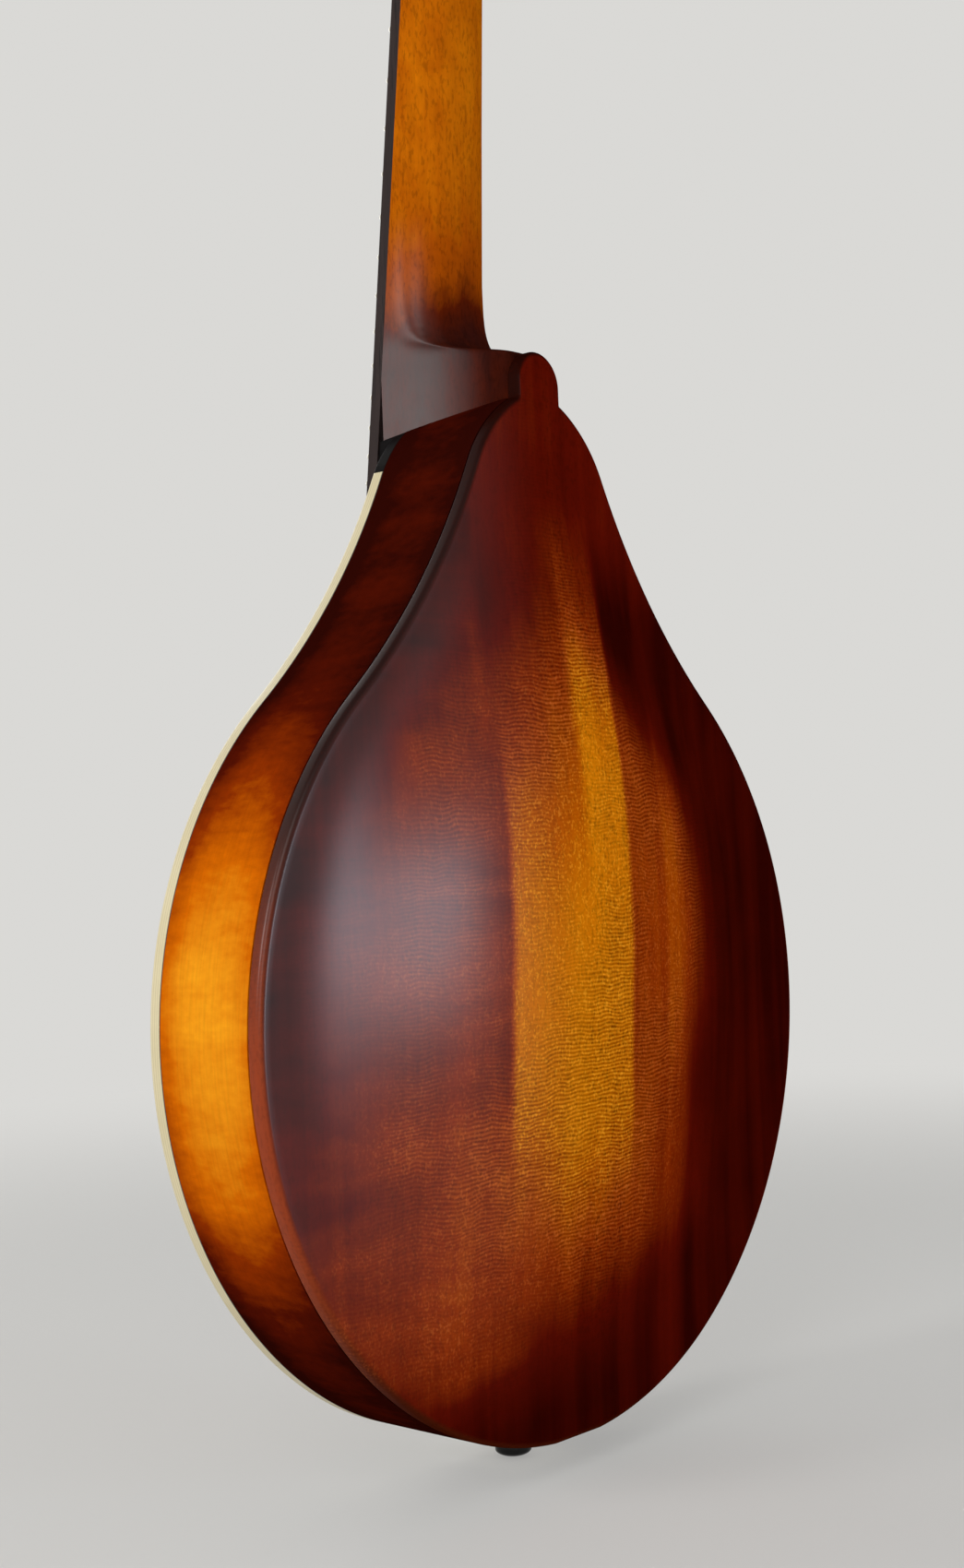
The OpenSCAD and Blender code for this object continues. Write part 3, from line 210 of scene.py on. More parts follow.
def ring_shell(grid, extra=()):
    """A closed shell through rings of points (rows, cols, 3), each ring closed and both ends
    shut by a fan to the ring's middle. Returns points, faces and the extra per-point values,
    with the middles' values taken from their rings."""
    rows, cols, _ = grid.shape
    ends = [grid[0].mean(0), grid[-1].mean(0)]
    points = np.concatenate([grid.reshape(-1, 3), ends])
    faces = grid_faces(rows, cols)
    c = np.arange(cols)
    first, last = rows * cols, rows * cols + 1
    faces += np.stack([np.full(cols, first), (c + 1) % cols, c], -1).tolist()
    base = (rows - 1) * cols
    faces += np.stack([np.full(cols, last), base + c, base + (c + 1) % cols], -1).tolist()
    values = [np.concatenate([e.reshape(-1), [e[0].mean(), e[-1].mean()]]) for e in extra]
    return points, faces, values


def ring_piece(name, grid, place=to_frame, body="mandolin", smooth=30.0, **values):
    """A piece from rings of points, which a function puts into the part's frame, with values
    by name for each point of the grid."""
    points, faces, full = ring_shell(grid, values.values())
    return mesh_piece(name, place(points), faces, body, smooth, list(zip(values, full)))


def join_shells(shells):
    """Several shells of points and faces as one."""
    points, faces, start = [], [], 0
    for p, f in shells:
        points.append(np.asarray(p))
        faces += [[i + start for i in face] for face in f]
        start += len(p)
    return np.concatenate(points), faces


def tube_rings(path, radius, sides):
    """Rings of a round tube along a path. The side direction is carried along by removing from
    it the part along each new tangent, so the rings don't twist."""
    path = np.asarray(path, float)
    tangent = np.gradient(path, axis=0)
    tangent /= np.linalg.norm(tangent, axis=1)[:, None]
    side = np.zeros_like(path)
    guess = np.array([1.0, 0, 0]) if abs(tangent[0][0]) < 0.9 else np.array([0, 1.0, 0])
    for k, t in enumerate(tangent):
        guess = guess - t * guess.dot(t)
        guess /= np.linalg.norm(guess)
        side[k] = guess
    up = np.cross(tangent, side)
    a = np.linspace(0, 2 * np.pi, sides, endpoint=False)
    ring = np.cos(a)[None, :, None] * side[:, None] + np.sin(a)[None, :, None] * up[:, None]
    return path[:, None] + radius * ring


def lathe(profile, sides):
    """Rings of a turned form about z from (radius, z) pairs."""
    r, z = np.asarray(profile, float).T[..., None]
    a = np.linspace(0, 2 * np.pi, sides, endpoint=False)
    return grid_of(r * np.cos(a), r * np.sin(a), z)


def read_floats(data, key, count):
    """The values of one property over a collection, as an array."""
    values = np.zeros(len(data) * count, np.float32)
    data.foreach_get(key, values)
    return values.reshape(-1, count).astype(float)


def flat_along(piece, axis):
    """Shades flat the faces that look along an axis, so that a plate's faces stay plain."""
    polygons = piece.data.polygons
    facing = np.abs(read_floats(polygons, "normal", 3) @ (axis / np.linalg.norm(axis)))
    polygons.foreach_set("use_smooth", facing < 0.9998)


# angles in degrees above which the edges of a cut piece and of a softened one are sharp
SHARP_CUT, SHARP_SOFT = 40.0, 32.0


def combine(piece, other, operation):
    """Puts the boolean of two closed meshes into the piece and removes the other object."""
    step = piece.modifiers.new("boolean", "BOOLEAN")
    step.operation, step.solver, step.object = operation, "EXACT", other
    graph = bpy.context.evaluated_depsgraph_get()
    made = bpy.data.meshes.new_from_object(piece.evaluated_get(graph))
    piece.modifiers.remove(step)
    old, piece.data = piece.data, made
    bpy.data.meshes.remove(old)
    bpy.data.objects.remove(other)
    return made


def cut_with(piece, cutter):
    """Takes one closed mesh out of another and leaves the result in the piece's mesh. Points
    that the cut makes take their attributes from the nearest old point."""
    labels = [a.name for a in piece.data.attributes if a.data_type == "FLOAT"]
    before = read_floats(piece.data.vertices, "co", 3)
    values = {key: read_floats(piece.data.attributes[key].data, "value", 1) for key in labels}
    kept = piece.data.attributes.new("kept", "FLOAT", "POINT")
    kept.data.foreach_set("value", np.ones(len(before), np.float32))
    made = combine(piece, cutter, "DIFFERENCE")
    after = read_floats(made.vertices, "co", 3)
    fresh = np.flatnonzero(read_floats(made.attributes["kept"].data, "value", 1)[:, 0] < 0.999)
    made.attributes.remove(made.attributes["kept"])
    apart = (before**2).sum(1) - 2 * after[fresh] @ before.T
    near = apart.argmin(1)
    for key in labels:
        data = made.attributes[key].data
        full = read_floats(data, "value", 1)
        full[fresh] = values[key][near]
        data.foreach_set("value", full.astype(np.float32).ravel())
    made.set_sharp_from_angle(angle=math.radians(SHARP_CUT))


def plain_object(name, points, faces):
    """A helper object that isn't a piece and is removed after its use."""
    mesh = mesh_of(name, points, faces)
    helper = link_object(name, mesh)
    bpy.context.view_layer.update()
    return helper


def cutting_tool(name, points, faces):
    """A helper object of closed shells to cut with."""
    tool = plain_object(name, points, faces)
    turn_outwards(tool.data)
    return tool


def softened(node, width, body="mandolin", segments=3):
    """A copy of a node's mesh with its doubles merged and its hard edges rounded over."""
    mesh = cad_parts[node].data.copy()
    work = bmesh.new()
    work.from_mesh(mesh)
    bmesh.ops.remove_doubles(work, verts=work.verts[:], dist=2e-6)
    bmesh.ops.dissolve_limit(
        work, angle_limit=math.radians(1.0), verts=work.verts[:], edges=work.edges[:]
    )
    work.to_mesh(mesh)
    work.free()
    piece = link_object(node + "_dressed", mesh)
    mesh.materials.clear()
    bevel = piece.modifiers.new("edges", "BEVEL")
    bevel.width = width * MM
    bevel.segments = segments
    bevel.limit_method = "ANGLE"
    bevel.angle_limit = math.radians(SHARP_SOFT)
    bevel.miter_outer = "MITER_ARC"
    bevel.harden_normals = False
    shade_smooth(mesh, SHARP_SOFT)
    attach(piece, body)
    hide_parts(node)
    return piece


# ---------------------------------------------------------------- the body's forms
def half_outline():
    """The half outline from tail to heel: tangent arcs, each point at its arc's start plus
    s r (sin h - sin h0, cos h0 - cos h) for a heading h, scaled to the body's width and length."""
    points, heading, at = [np.zeros((1, 2))], 0.0, np.zeros(2)
    for radius, turn in ARCS:
        count = max(int(abs(turn)), 6)
        h = np.radians(heading + turn * np.arange(1, count + 1) / count)
        h0, sign = math.radians(heading), math.copysign(1, turn)
        arc = at + sign * radius * np.stack([np.sin(h) - math.sin(h0), math.cos(h0) - np.cos(h)], 1)
        points.append(arc)
        at, heading = arc[-1], heading + turn
    half = np.concatenate(points)
    return half * np.array([BODY_W / 2 / half[:, 0].max(), BODY_L / half[-1, 1]])


def inset(half, distance):
    """The half outline moved inwards along its normals."""
    along = np.gradient(half, axis=0)
    along[0] = [1, 0]
    along /= np.linalg.norm(along, axis=1)[:, None]
    return half + distance * np.stack([-along[:, 1], along[:, 0]], 1)


def at_depth(line, y):
    """An outline's (x, z) points at one depth."""
    return np.stack([line[:, 0], np.full(len(line), y), line[:, 1]], 1)


def below(half, z):
    """Part of a half outline below a height, ending exactly on it."""
    keep = half[half[:, 1] < z]
    a, b = keep[-1], half[len(keep)]
    return np.vstack([keep, a + (b - a) * (z - a[1]) / (b[1] - a[1])])


def mirrored(half):
    """A half outline and its mirror image as one closed loop."""
    other = half[::-1] * np.array([-1, 1])
    return np.vstack([half, other[np.abs(other[:, 0]) > 0.01]])


HALF = half_outline()


# shares of the way to the rim: the flat rim's start, the glued rim's, the hollow's, and the
# rings of the outside and the inside
FLAT_RIM, GLUED_RIM, HOLLOW = 0.95, 0.915, 0.84
OUTSIDE = np.concatenate([np.linspace(0.985, 0.8, 14), np.linspace(0.78, 0.03, 38)])
INSIDE = np.concatenate([np.linspace(0.03, HOLLOW, 16), [0.87, 0.9, 0.93, 0.97]])


def arch(s):
    """1 in the middle to 0 at the flat rim: a cosine of s^1.3, less a shallow hollow."""
    t = np.clip(s / FLAT_RIM, 0, 1)
    rise = (1 + np.cos(np.pi * t**1.3)) / 2 - 0.03 * np.sin(np.pi * t**4) ** 2
    return np.where(s >= FLAT_RIM, 0, rise)


def rounded_share(s, x, z):
    """The share of the way to the rim, turned from the outline's form into an oval's."""
    up = np.where(z > BRIDGE_Z, BODY_L - BRIDGE_Z, BRIDGE_Z)
    oval = np.hypot(x * 2 / BODY_W, (z - BRIDGE_Z) / up)
    return np.where(s >= 1, s, s**3 + (1 - s**2) * oval)


def wall(s, edge):
    """A plate's thickness: full at the glued rim, thin in the hollow, thicker in the middle."""
    middle = PLATE_THIN + (PLATE_MID - PLATE_THIN) * (1 - s / HOLLOW)
    return np.where(s >= GLUED_RIM, edge, np.where(s >= HOLLOW, PLATE_THIN, middle))


def carved_plate(rim, arch_rim, height, edge, outer_r, inner_r):
    """Grid of a carved plate. Rings run from the inner corner round the edge, in over the arch
    y = -height rise(s) to the middle, and the inside y = wall(s) - height rise(s) comes back
    out. The share s is the distance from the middle over that of arch_rim on the same ray."""
    arm = rim - DOME
    reach = np.linalg.norm(arm, axis=1)
    ray = np.arctan2(arm[:, 0], arm[:, 1])
    base = arch_rim - DOME
    order = np.argsort(np.arctan2(base[:, 0], base[:, 1]))
    known = np.arctan2(base[:, 0], base[:, 1])[order]
    limit = np.linalg.norm(base, axis=1)[order]
    full = np.interp(ray, known, limit, period=2 * np.pi)
    unit = arm / reach[:, None]
    rings, shares = [], []

    def ring(distance, y):
        q = DOME + unit * distance[:, None]
        s = np.minimum(distance / full, 1)
        rings.append(at_depth(q, y(s, q[:, 0], q[:, 1]) if callable(y) else y))
        shares.append(rounded_share(s, q[:, 0], q[:, 1]))

    for a in np.radians([90, 67, 45, 22, 0]):
        ring(reach - inner_r * (1 - math.cos(a)), edge - inner_r + inner_r * math.sin(a))
    for a in np.radians([0, 15, 30, 45, 60, 75, 90]):
        ring(reach - outer_r * (1 - math.cos(a)), outer_r - outer_r * math.sin(a))
    outside = lambda s, x, z: -height * arch(rounded_share(s, x, z))
    inside = lambda s, x, z: wall(s, edge) + outside(s, x, z)
    start = reach - outer_r
    for t in OUTSIDE:
        ring(start * t, outside)
    outer_rows = len(rings)
    for t in INSIDE:
        ring(reach * t, inside)
    return np.array(rings), np.array(shares), outer_rows


def plate_shell(rings, shares, outer_rows):
    """Points, faces and shares of a plate's grid: the outside closes at a middle point, the
    inside starts at its own, and the last ring joins the first."""
    rows, cols, _ = rings.shape
    points = rings.reshape(-1, 3)
    outer_mid = rings[outer_rows - 1].mean(0)
    inner_mid = rings[outer_rows].mean(0)
    faces = grid_faces(outer_rows, cols)
    faces += grid_faces(rows - outer_rows, cols, start=outer_rows * cols)
    c = np.arange(cols)
    n = (c + 1) % cols
    base, inner = (outer_rows - 1) * cols, outer_rows * cols
    mid = rows * cols
    faces += np.stack([np.full(cols, mid), base + n, base + c], 1).tolist()
    faces += np.stack([np.full(cols, mid + 1), inner + c, inner + n], 1).tolist()
    end = (rows - 1) * cols
    faces += np.stack([end + c, end + n, n, c], 1).tolist()
    points = np.vstack([points, outer_mid, inner_mid])
    values = np.concatenate([shares.reshape(-1), [0, 0]])
    return points, faces, values


# ---------------------------------------------------------------- materials
class Value:
    """A shader socket with arithmetic: every operator adds the Math node that it names."""

    def __init__(self, finish, socket):
        self.finish, self.socket = finish, socket

    def _with(self, operation, *others):
        return self.finish.node(
            "ShaderNodeMath", {"operation": operation}, dict(enumerate((self,) + others))
        )

    def __add__(self, other):
        return self._with("ADD", other)

    def __radd__(self, other):
        return self._with("ADD", other)

    def __sub__(self, other):
        return self._with("SUBTRACT", other)

    def __rsub__(self, other):
        return self.finish.math("SUBTRACT", other, self)

    def __mul__(self, other):
        return self._with("MULTIPLY", other)

    def __pow__(self, other):
        return self._with("POWER", other)

    def clamp(self):
        """Limited to 0 and 1."""
        return self._with("MAXIMUM", 0.0)._with("MINIMUM", 1.0)

    def sin(self):
        """The sine of the value in radians."""
        return self._with("SINE")

    def root(self):
        """The square root."""
        return self._with("SQRT")

    def band(self, a, b, c, d):
        """0 below a, 1 from b to c, and 0 again above d."""
        return self.smooth(a, b) * (1.0 - self.smooth(c, d))

    def smooth(self, low, high):
        """0 below low, 1 above high, and a smooth step between."""
        return self.finish.node(
            "ShaderNodeMapRange",
            {"interpolation_type": "SMOOTHSTEP"},
            {"Value": self, "From Min": low, "From Max": high},
        )


class Finish:
    """A material and its nodes: node() adds any node, and the other methods are short for it."""

    def __init__(self, name):
        self.material = bpy.data.materials.new(name)
        self.material.use_nodes = True
        self.tree = self.material.node_tree
        self.shader = self.tree.nodes["Principled BSDF"]

    def node(self, kind, settings=None, inputs=None, output=0):
        """Adds a node, sets it up, links or sets its sockets and returns one output."""
        made = self.tree.nodes.new(kind)
        for key, value in (settings or {}).items():
            if key == "stops":
                ramp = made.color_ramp
                while len(ramp.elements) < len(value):
                    ramp.elements.new(0.5)
                for element, (place, colour) in zip(ramp.elements, value):
                    element.position = place
                    element.color = (*colour, 1.0)
            else:
                setattr(made, key, value)
        for key, value in (inputs or {}).items():
            self.feed(made.inputs[key], value)
        return Value(self, made.outputs[output])

    def feed(self, socket, value):
        """Links a value to a socket, or sets the socket's own number or colour."""
        if isinstance(value, Value):
            self.tree.links.new(value.socket, socket)
        elif socket.type == "RGBA" and len(value) == 3:
            socket.default_value = (*value, 1.0)
        else:
            socket.default_value = value

    def math(self, operation, *values):
        """One Math node."""
        return self.node("ShaderNodeMath", {"operation": operation}, dict(enumerate(values)))

    def place(self, scale=(1, 1, 1), shift=(0, 0, 0)):
        """Object coordinates, scaled and shifted."""
        where = self.node("ShaderNodeTexCoord", output="Object")
        return self.node(
            "ShaderNodeMapping", {}, {"Vector": where, "Scale": scale, "Location": shift}
        )

    def axes(self, vector):
        """The three numbers of a vector."""
        split = self.node("ShaderNodeSeparateXYZ", {}, {0: vector})
        node = split.socket.node
        return [Value(self, node.outputs[k]) for k in range(3)]

    def noise(self, vector, scale, detail=3.0, rough=0.5, distortion=0.0):
        """Noise from 0 to 1 with its middle at one half."""
        return self.node(
            "ShaderNodeTexNoise",
            {},
            {
                "Vector": vector,
                "Scale": scale,
                "Detail": detail,
                "Roughness": rough,
                "Distortion": distortion,
            },
        )

    def grain(self, scale, detail, rough=0.5, distortion=0.0, shift=(0, 0, 0)):
        """Noise stretched by a scale of its own along each axis."""
        return self.noise(self.place(scale, shift), 1.0, detail, rough, distortion)

    def attribute(self, name):
        """A number that the mesh carries on its points."""
        return self.node("ShaderNodeAttribute", {"attribute_name": name}, {}, output="Fac")

    def mix(self, factor, a, b):
        """Two colours mixed."""
        made = self.tree.nodes.new("ShaderNodeMix")
        made.data_type = "RGBA"
        made.clamp_factor = True
        self.feed(made.inputs[0], factor)
        self.feed(made.inputs[6], a)
        self.feed(made.inputs[7], b)
        return Value(self, made.outputs[2])

    def ramp(self, factor, stops):
        """A colour ramp with the given places and colours."""
        return self.node("ShaderNodeValToRGB", {"stops": stops}, {0: factor})

    def bump(self, height, distance, strength=1.0):
        """Feeds a height in metres to the shader's normal."""
        normal = self.node(
            "ShaderNodeBump",
            {},
            {"Height": height, "Distance": distance, "Strength": strength},
        )
        self.feed(self.shader.inputs["Normal"], normal)

    def surface(self, **sockets):
        """Sets or links the shader's own sockets by name, underscores standing for spaces."""
        for key, value in sockets.items():
            self.feed(self.shader.inputs[key.replace("_", " ")], value)
        return self.material


def srgb(r, g, b):
    """A colour given in the 0 to 255 values of a screen, as the shader's linear values."""
    c = np.array([r, g, b]) / 255.0
    return tuple(np.where(c <= 0.04045, c / 12.92, ((c + 0.055) / 1.055) ** 2.4))


# ---------------------------------------------------------------- the finishes
# the back's stains, and the dark colour of the painted shadow on its rounded edge
BACK_STAINS_AND_SHADOW = {
    "gold": srgb(232, 136, 8),
    "amber": srgb(192, 88, 3),
    "red": srgb(144, 46, 3),
    "wine": srgb(94, 15, 3),
    "edge": srgb(47, 3, 1),
    "rim": srgb(150, 58, 20),
    "shadow": srgb(34, 8, 4),
}


def back_finish(name):
    """The back's sunburst on ribbon-figured wood. The share of the way to the rim runs through
    the stains. Ribbons along the body shift it, each with a soft and a sharp side, and fine
    cross ripples, short pores and bright flecks lie over them."""

    def past(upper_edge, lower_edge):
        """1 to the treble side of a ribbon's edge, which is sharp above and soft at the tail."""
        return line.smooth(*upper_edge) * high + line.smooth(*lower_edge) * (1.0 - high)

    wood = Finish(name)
    stains = dict(BACK_STAINS_AND_SHADOW, gold=tuple(bpy.context.scene.mandolin_body.sunburst_light))
    share = wood.attribute("share")
    at = wood.place()
    x, _, z = wood.axes(at)
    sway = wood.grain((0, 0, 11), 2.0)
    line = x * 1000.0 + (sway - 0.5) * 9.0
    upper = z.smooth(0.165, 0.225)
    high = z.smooth(0.06, 0.12)
    rim = (share + high * 0.07).smooth(0.37, 0.95)
    gold = line.band(-20.5, -17.5, -2.0, 5.0)
    middle = 0.15 + rim * 0.81 + upper * (1.0 - rim) * (0.25 - gold * 0.29)
    middle = middle + gold * (1.0 - z.smooth(0.10, 0.15)) * 0.04
    blotch = wood.grain((10, 10, 30), 4.0, 0.6, 0.4) - 0.5
    treble = 0.44 + share.smooth(0.6, 1.0) * 0.28 + z.smooth(0.06, 0.15) * 0.24 + blotch * 0.6
    treble = treble + (1.0 - z.smooth(0.01, 0.045)) * 0.3
    orange = line.band(-58.0, -50.0, -43.0, -38.0)
    bass = 0.50 - orange * 0.08 + (share + high * 0.18).smooth(0.54, 0.84) * 0.48
    tone = middle + past((33.0, 38.0), (-5.0, 60.0)) * (treble - middle)
    tone = tone + (1.0 - past((-22.0, -18.0), (-46.0, -10.0))) * (bass - middle)
    wide = wood.grain((75, 75, 2.4), 2.0)
    thin = wood.grain((330, 330, 6.0), 3.0)
    cloud = wood.noise(at, 13.0, 3.0, 0.55)
    tone = tone - z.smooth(0.26, 0.30) * 0.16
    tone = tone + (wide - 0.5) * 0.20 + (thin - 0.5) * 0.12 + (cloud - 0.5) * 0.26
    keys = zip((0.0, 0.28, 0.54, 0.78, 1.0), ("gold", "amber", "red", "wine", "edge"))
    stain = wood.ramp(tone.clamp(), [(place, stains[key]) for place, key in keys])
    # painted shadow: the rounded edge keeps a reddish-brown stain low on the body and goes to the shadow
    # colour higher up and near the tail
    corner = wood.mix(z.smooth(0.13, 0.21), stains["rim"], stains["shadow"])
    corner = wood.mix((1.0 - z.smooth(0.03, 0.09)) * 0.8, corner, stains["shadow"])
    stain = wood.mix(wood.attribute("edge"), stain, corner)
    wave = wood.grain((60, 60, 40), 2.0)
    swell = wood.grain((30, 30, 13), 2.0, shift=(4, 2, 1))
    broken = wood.grain((150, 150, 1000), 2.0)
    cross = ((z * 5000.0 + wave * 34.0).sin() + 1.0) * 0.22 + broken * 0.56
    depth = swell.smooth(0.30, 0.56) * (1.0 - share.smooth(0.5, 0.92) * 0.6)
    fibre = wood.grain((1000, 1000, 120), 3.0, 0.6)
    pore = wood.grain((1100, 1100, 520), 1.0, 0.4).smooth(0.50, 0.66)
    dark = cross * depth * 0.72 + (fibre - 0.5) * 0.5 + pore * (0.22 + gold * 0.16)
    colour = wood.mix(dark.clamp(), stain, wood.mix(0.74, stain, srgb(52, 9, 1)))
    fleck = wood.grain((1300, 1300, 1000), 1.0, 0.4).smooth(0.52, 0.70)
    lift = (fleck * 0.42 + (0.62 - cross) * depth * 0.9) * (1.0 - tone.smooth(0.3, 0.78))
    bright = wood.mix(tone.smooth(0.2, 0.5), srgb(255, 168, 34), srgb(226, 112, 44))
    colour = wood.mix(lift.clamp(), colour, bright)
    wood.bump(cross * depth * 0.6 + fibre * 0.4, 0.00005, 0.3)
    return wood.surface(
        Base_Color=colour,
        Roughness=0.44 + (fibre - 0.5) * 0.12 + (cloud - 0.5) * 0.08,
        Specular_IOR_Level=0.0,
        Coat_Weight=line.smooth(0.0, 62.0) * z.smooth(0.02, 0.1) * (0.46 + (cloud - 0.5) * 0.3),
        Coat_Roughness=0.31,
    )


def rib_finish(name):
    """Ribs: gold in the middle of the lower bout, red-brown towards the heel and the tail, and
    darker along both edges, with the figure's bands across the strip."""
    wood = Finish(name)
    run = wood.attribute("share")
    across = wood.attribute("across")
    at = wood.place()
    cloud = wood.noise(at, 22.0, 4.0, 0.6)
    bands = wood.grain((90, 16, 90), 3.0, 0.55, 0.4)
    mottle = wood.grain((420, 200, 420), 3.0, 0.6)
    fibre = wood.grain((55, 1000, 55), 3.0, 0.6)
    rim = ((across - 0.52) * 2.0) ** 2.0
    tone = run + (bands - 0.5) * 0.26 + (cloud - 0.5) * 0.28 + (mottle - 0.5) * 0.2
    tone = tone + rim * 0.16 + (1.0 - across.smooth(0.0, 0.3)) * 0.08
    stain = wood.ramp(
        tone.clamp(),
        [
            (0.0, srgb(255, 168, 30)),
            (0.3, srgb(214, 104, 4)),
            (0.55, srgb(146, 50, 3)),
            (0.78, srgb(86, 19, 4)),
            (1.0, srgb(48, 9, 4)),
        ],
    )
    grain = (fibre - 0.40).clamp() * 0.5
    colour = wood.mix(grain, stain, wood.mix(0.7, stain, srgb(24, 5, 2)))
    wood.bump(fibre, 0.00005, 0.3)
    return wood.surface(
        Base_Color=colour, Roughness=0.42 + (fibre - 0.5) * 0.12, Specular_IOR_Level=0.0
    )


def neck_finish(name):
    """Amber maple with small dark flecks, stained dark at the heel and towards the headstock, with painted
    shade where the neck curves into the heel.
    """
    wood = Finish(name)
    shade = wood.attribute("share")
    at = wood.place()
    x, _, z = wood.axes(at)
    fibre = wood.grain((900, 900, 90), 4.0, 0.65)
    streak = wood.grain((130, 130, 12), 3.0, 0.5, 0.6)
    cloud = wood.grain((120, 120, 50), 4.0, 0.65, 0.8)
    fleck = wood.grain((1100, 1100, 420), 2.0).smooth(0.50, 0.66)
    tone = shade + (streak - 0.5) * 0.26 + (cloud - 0.5) * 0.44
    glare = x.smooth(0.009, 0.017) * (1.0 - z.smooth(0.36, 0.40))
    stain = wood.ramp(
        tone.clamp(),
        [
            (0.0, srgb(212, 116, 8)),
            (0.35, srgb(170, 76, 4)),
            (0.7, srgb(90, 27, 6)),
            (1.0, srgb(56, 20, 14)),
        ],
    )
    dark = (fibre - 0.42).clamp() * 0.9 + fleck * 0.36
    colour = wood.mix(dark.clamp(), stain, wood.mix(0.7, stain, srgb(30, 8, 3)))
    wood.bump(fibre, 0.00005, 0.3)
    return wood.surface(
        Base_Color=colour,
        Roughness=0.42 + (fibre - 0.5) * 0.12,
        Specular_IOR_Level=0.0,
        Coat_Weight=glare * (0.5 + (cloud - 0.5) * 0.3),
        Coat_Roughness=0.36,
    )


def top_finish(name):
    """Sunburst on straight-grained spruce: fine dark grain lines along the body."""
    wood = Finish(name)
    share = wood.attribute("share")
    at = wood.place()
    x, _, _ = wood.axes(at)
    sway = wood.grain((7, 7, 1.2), 2.0)
    lines = ((x * 1000.0 * 4.2 + sway * 16.0).sin() + 1.0) * 0.5
    cloud = wood.noise(at, 10.0, 3.0, 0.5)
    fibre = wood.grain((1100, 1100, 40), 3.0, 0.6)
    tone = share + (cloud - 0.5) * 0.12
    stain = wood.ramp(
        tone.smooth(0.28, 0.98),
        [
            (0.0, srgb(222, 146, 52)),
            (0.38, srgb(176, 88, 20)),
            (0.72, srgb(78, 23, 8)),
            (1.0, srgb(26, 7, 4)),
        ],
    )
    dark = (lines**3.0) * 0.30 + (fibre - 0.5) * 0.2
    colour = wood.mix(dark.clamp(), stain, wood.mix(0.7, stain, (0.03, 0.008, 0.002)))
    wood.bump(lines * 0.5 + fibre * 0.5, 0.00005, 0.35)
    return wood.surface(
        Base_Color=colour,
        Roughness=0.4 + (fibre - 0.5) * 0.1,
        Specular_IOR_Level=0.04,
    )


def raw_wood(name):
    """Unfinished spruce inside the body."""
    wood = Finish(name)
    fibre = wood.grain((600, 600, 40), 3.0, 0.6)
    colour = wood.mix(fibre, srgb(214, 180, 128), srgb(176, 134, 84))
    wood.bump(fibre, 0.0001, 0.4)
    return wood.surface(Base_Color=colour, Roughness=0.75)


def ebony_finish(name):
    """Near-black wood with grey-brown pores along the strings."""
    wood = Finish(name)
    pores = wood.grain((1400, 1400, 70), 3.0, 0.65)
    cloud = wood.noise(wood.place(), 40.0, 3.0, 0.5)
    colour = wood.mix(pores, srgb(20, 16, 15), srgb(48, 38, 34))
    colour = wood.mix(cloud.smooth(0.5, 0.8) * 0.5, colour, srgb(58, 44, 38))
    wood.bump(pores, 0.00008, 0.4)
    return wood.surface(
        Base_Color=colour, Roughness=0.42 + (pores - 0.5) * 0.2, Specular_IOR_Level=0.14
    )


def board_finish(name):
    """Dark grey-brown fretboard wood, oiled, with long open pores."""
    wood = Finish(name)
    pores = wood.grain((1200, 1200, 55), 4.0, 0.65)
    streak = wood.grain((160, 160, 9), 2.0)
    colour = wood.mix(streak, srgb(34, 26, 26), srgb(60, 47, 44))
    colour = wood.mix(pores.smooth(0.5, 0.7), colour, srgb(20, 15, 15))
    wood.bump(1.0 - pores.smooth(0.5, 0.7), 0.00010, 0.5)
    return wood.surface(
        Base_Color=colour, Roughness=0.5 + (pores - 0.5) * 0.2, Specular_IOR_Level=0.12
    )


# tint and strength of the lengthwise lines
CREAMS = {"bone": (srgb(232, 224, 200), 0.06), "cream_button": (srgb(230, 214, 168), 0.10)}


def cream_finish(name):
    """Bone or cream plastic with faint lengthwise lines, thinly yellowed."""
    tint, lines = CREAMS[name]
    cream = Finish(name)
    at = cream.place()
    _, y, _ = cream.axes(at)
    cloud = cream.noise(at, 60.0, 3.0, 0.5)
    grain = ((y * 1000.0 * 9.0 + cloud * 1.5).sin() + 1.0) * 0.5
    colour = cream.mix(cloud * 0.5, tint, tuple(0.84 * c for c in tint))
    colour = cream.mix(grain * lines, colour, srgb(168, 146, 104))
    cream.bump(cloud, 0.00004, 0.2)
    return cream.surface(Base_Color=colour, Roughness=0.34 + (cloud - 0.5) * 0.1)


def binding_finish(name):
    """Cream binding with fine lengthwise lines and a dark line where it meets the rib."""
    cream = Finish(name)
    at = cream.place()
    _, y, _ = cream.axes(at)
    cloud = cream.noise(at, 70.0, 3.0, 0.5)
    depth = y * 1000.0 + STRAP_Y
    grain = ((depth * 6.6 + cloud * 1.2).sin() + 1.0) * 0.5
    colour = cream.mix(cloud * 0.6, srgb(232, 220, 182), srgb(206, 190, 146))
    colour = cream.mix(grain**3.0 * 0.30, colour, srgb(150, 128, 84))
    seam = depth.smooth(TOP_EDGE - 0.42, TOP_EDGE - 0.30)
    colour = cream.mix(seam, colour, srgb(26, 14, 8))
    return cream.surface(Base_Color=colour, Roughness=0.38 + (cloud - 0.5) * 0.1)


# tint, roughness, brushing, and the tint of the wheels behind the machines' plates
NICKEL = srgb(214, 209, 198)
METALS = {
    "nickel": (NICKEL, 0.2, 0.0, None),
    "post_and_wheel": (NICKEL, 0.2, 0.0, srgb(206, 160, 78)),
    "steel": (srgb(190, 190, 188), 0.3, 0.2, None),
    "polished_frets": (srgb(224, 220, 208), 0.18, 0.0, None),
    "brass": (srgb(212, 172, 96), 0.26, 0.0, None),
    "plain_string": (srgb(206, 206, 204), 0.22, 0.0, None),
}


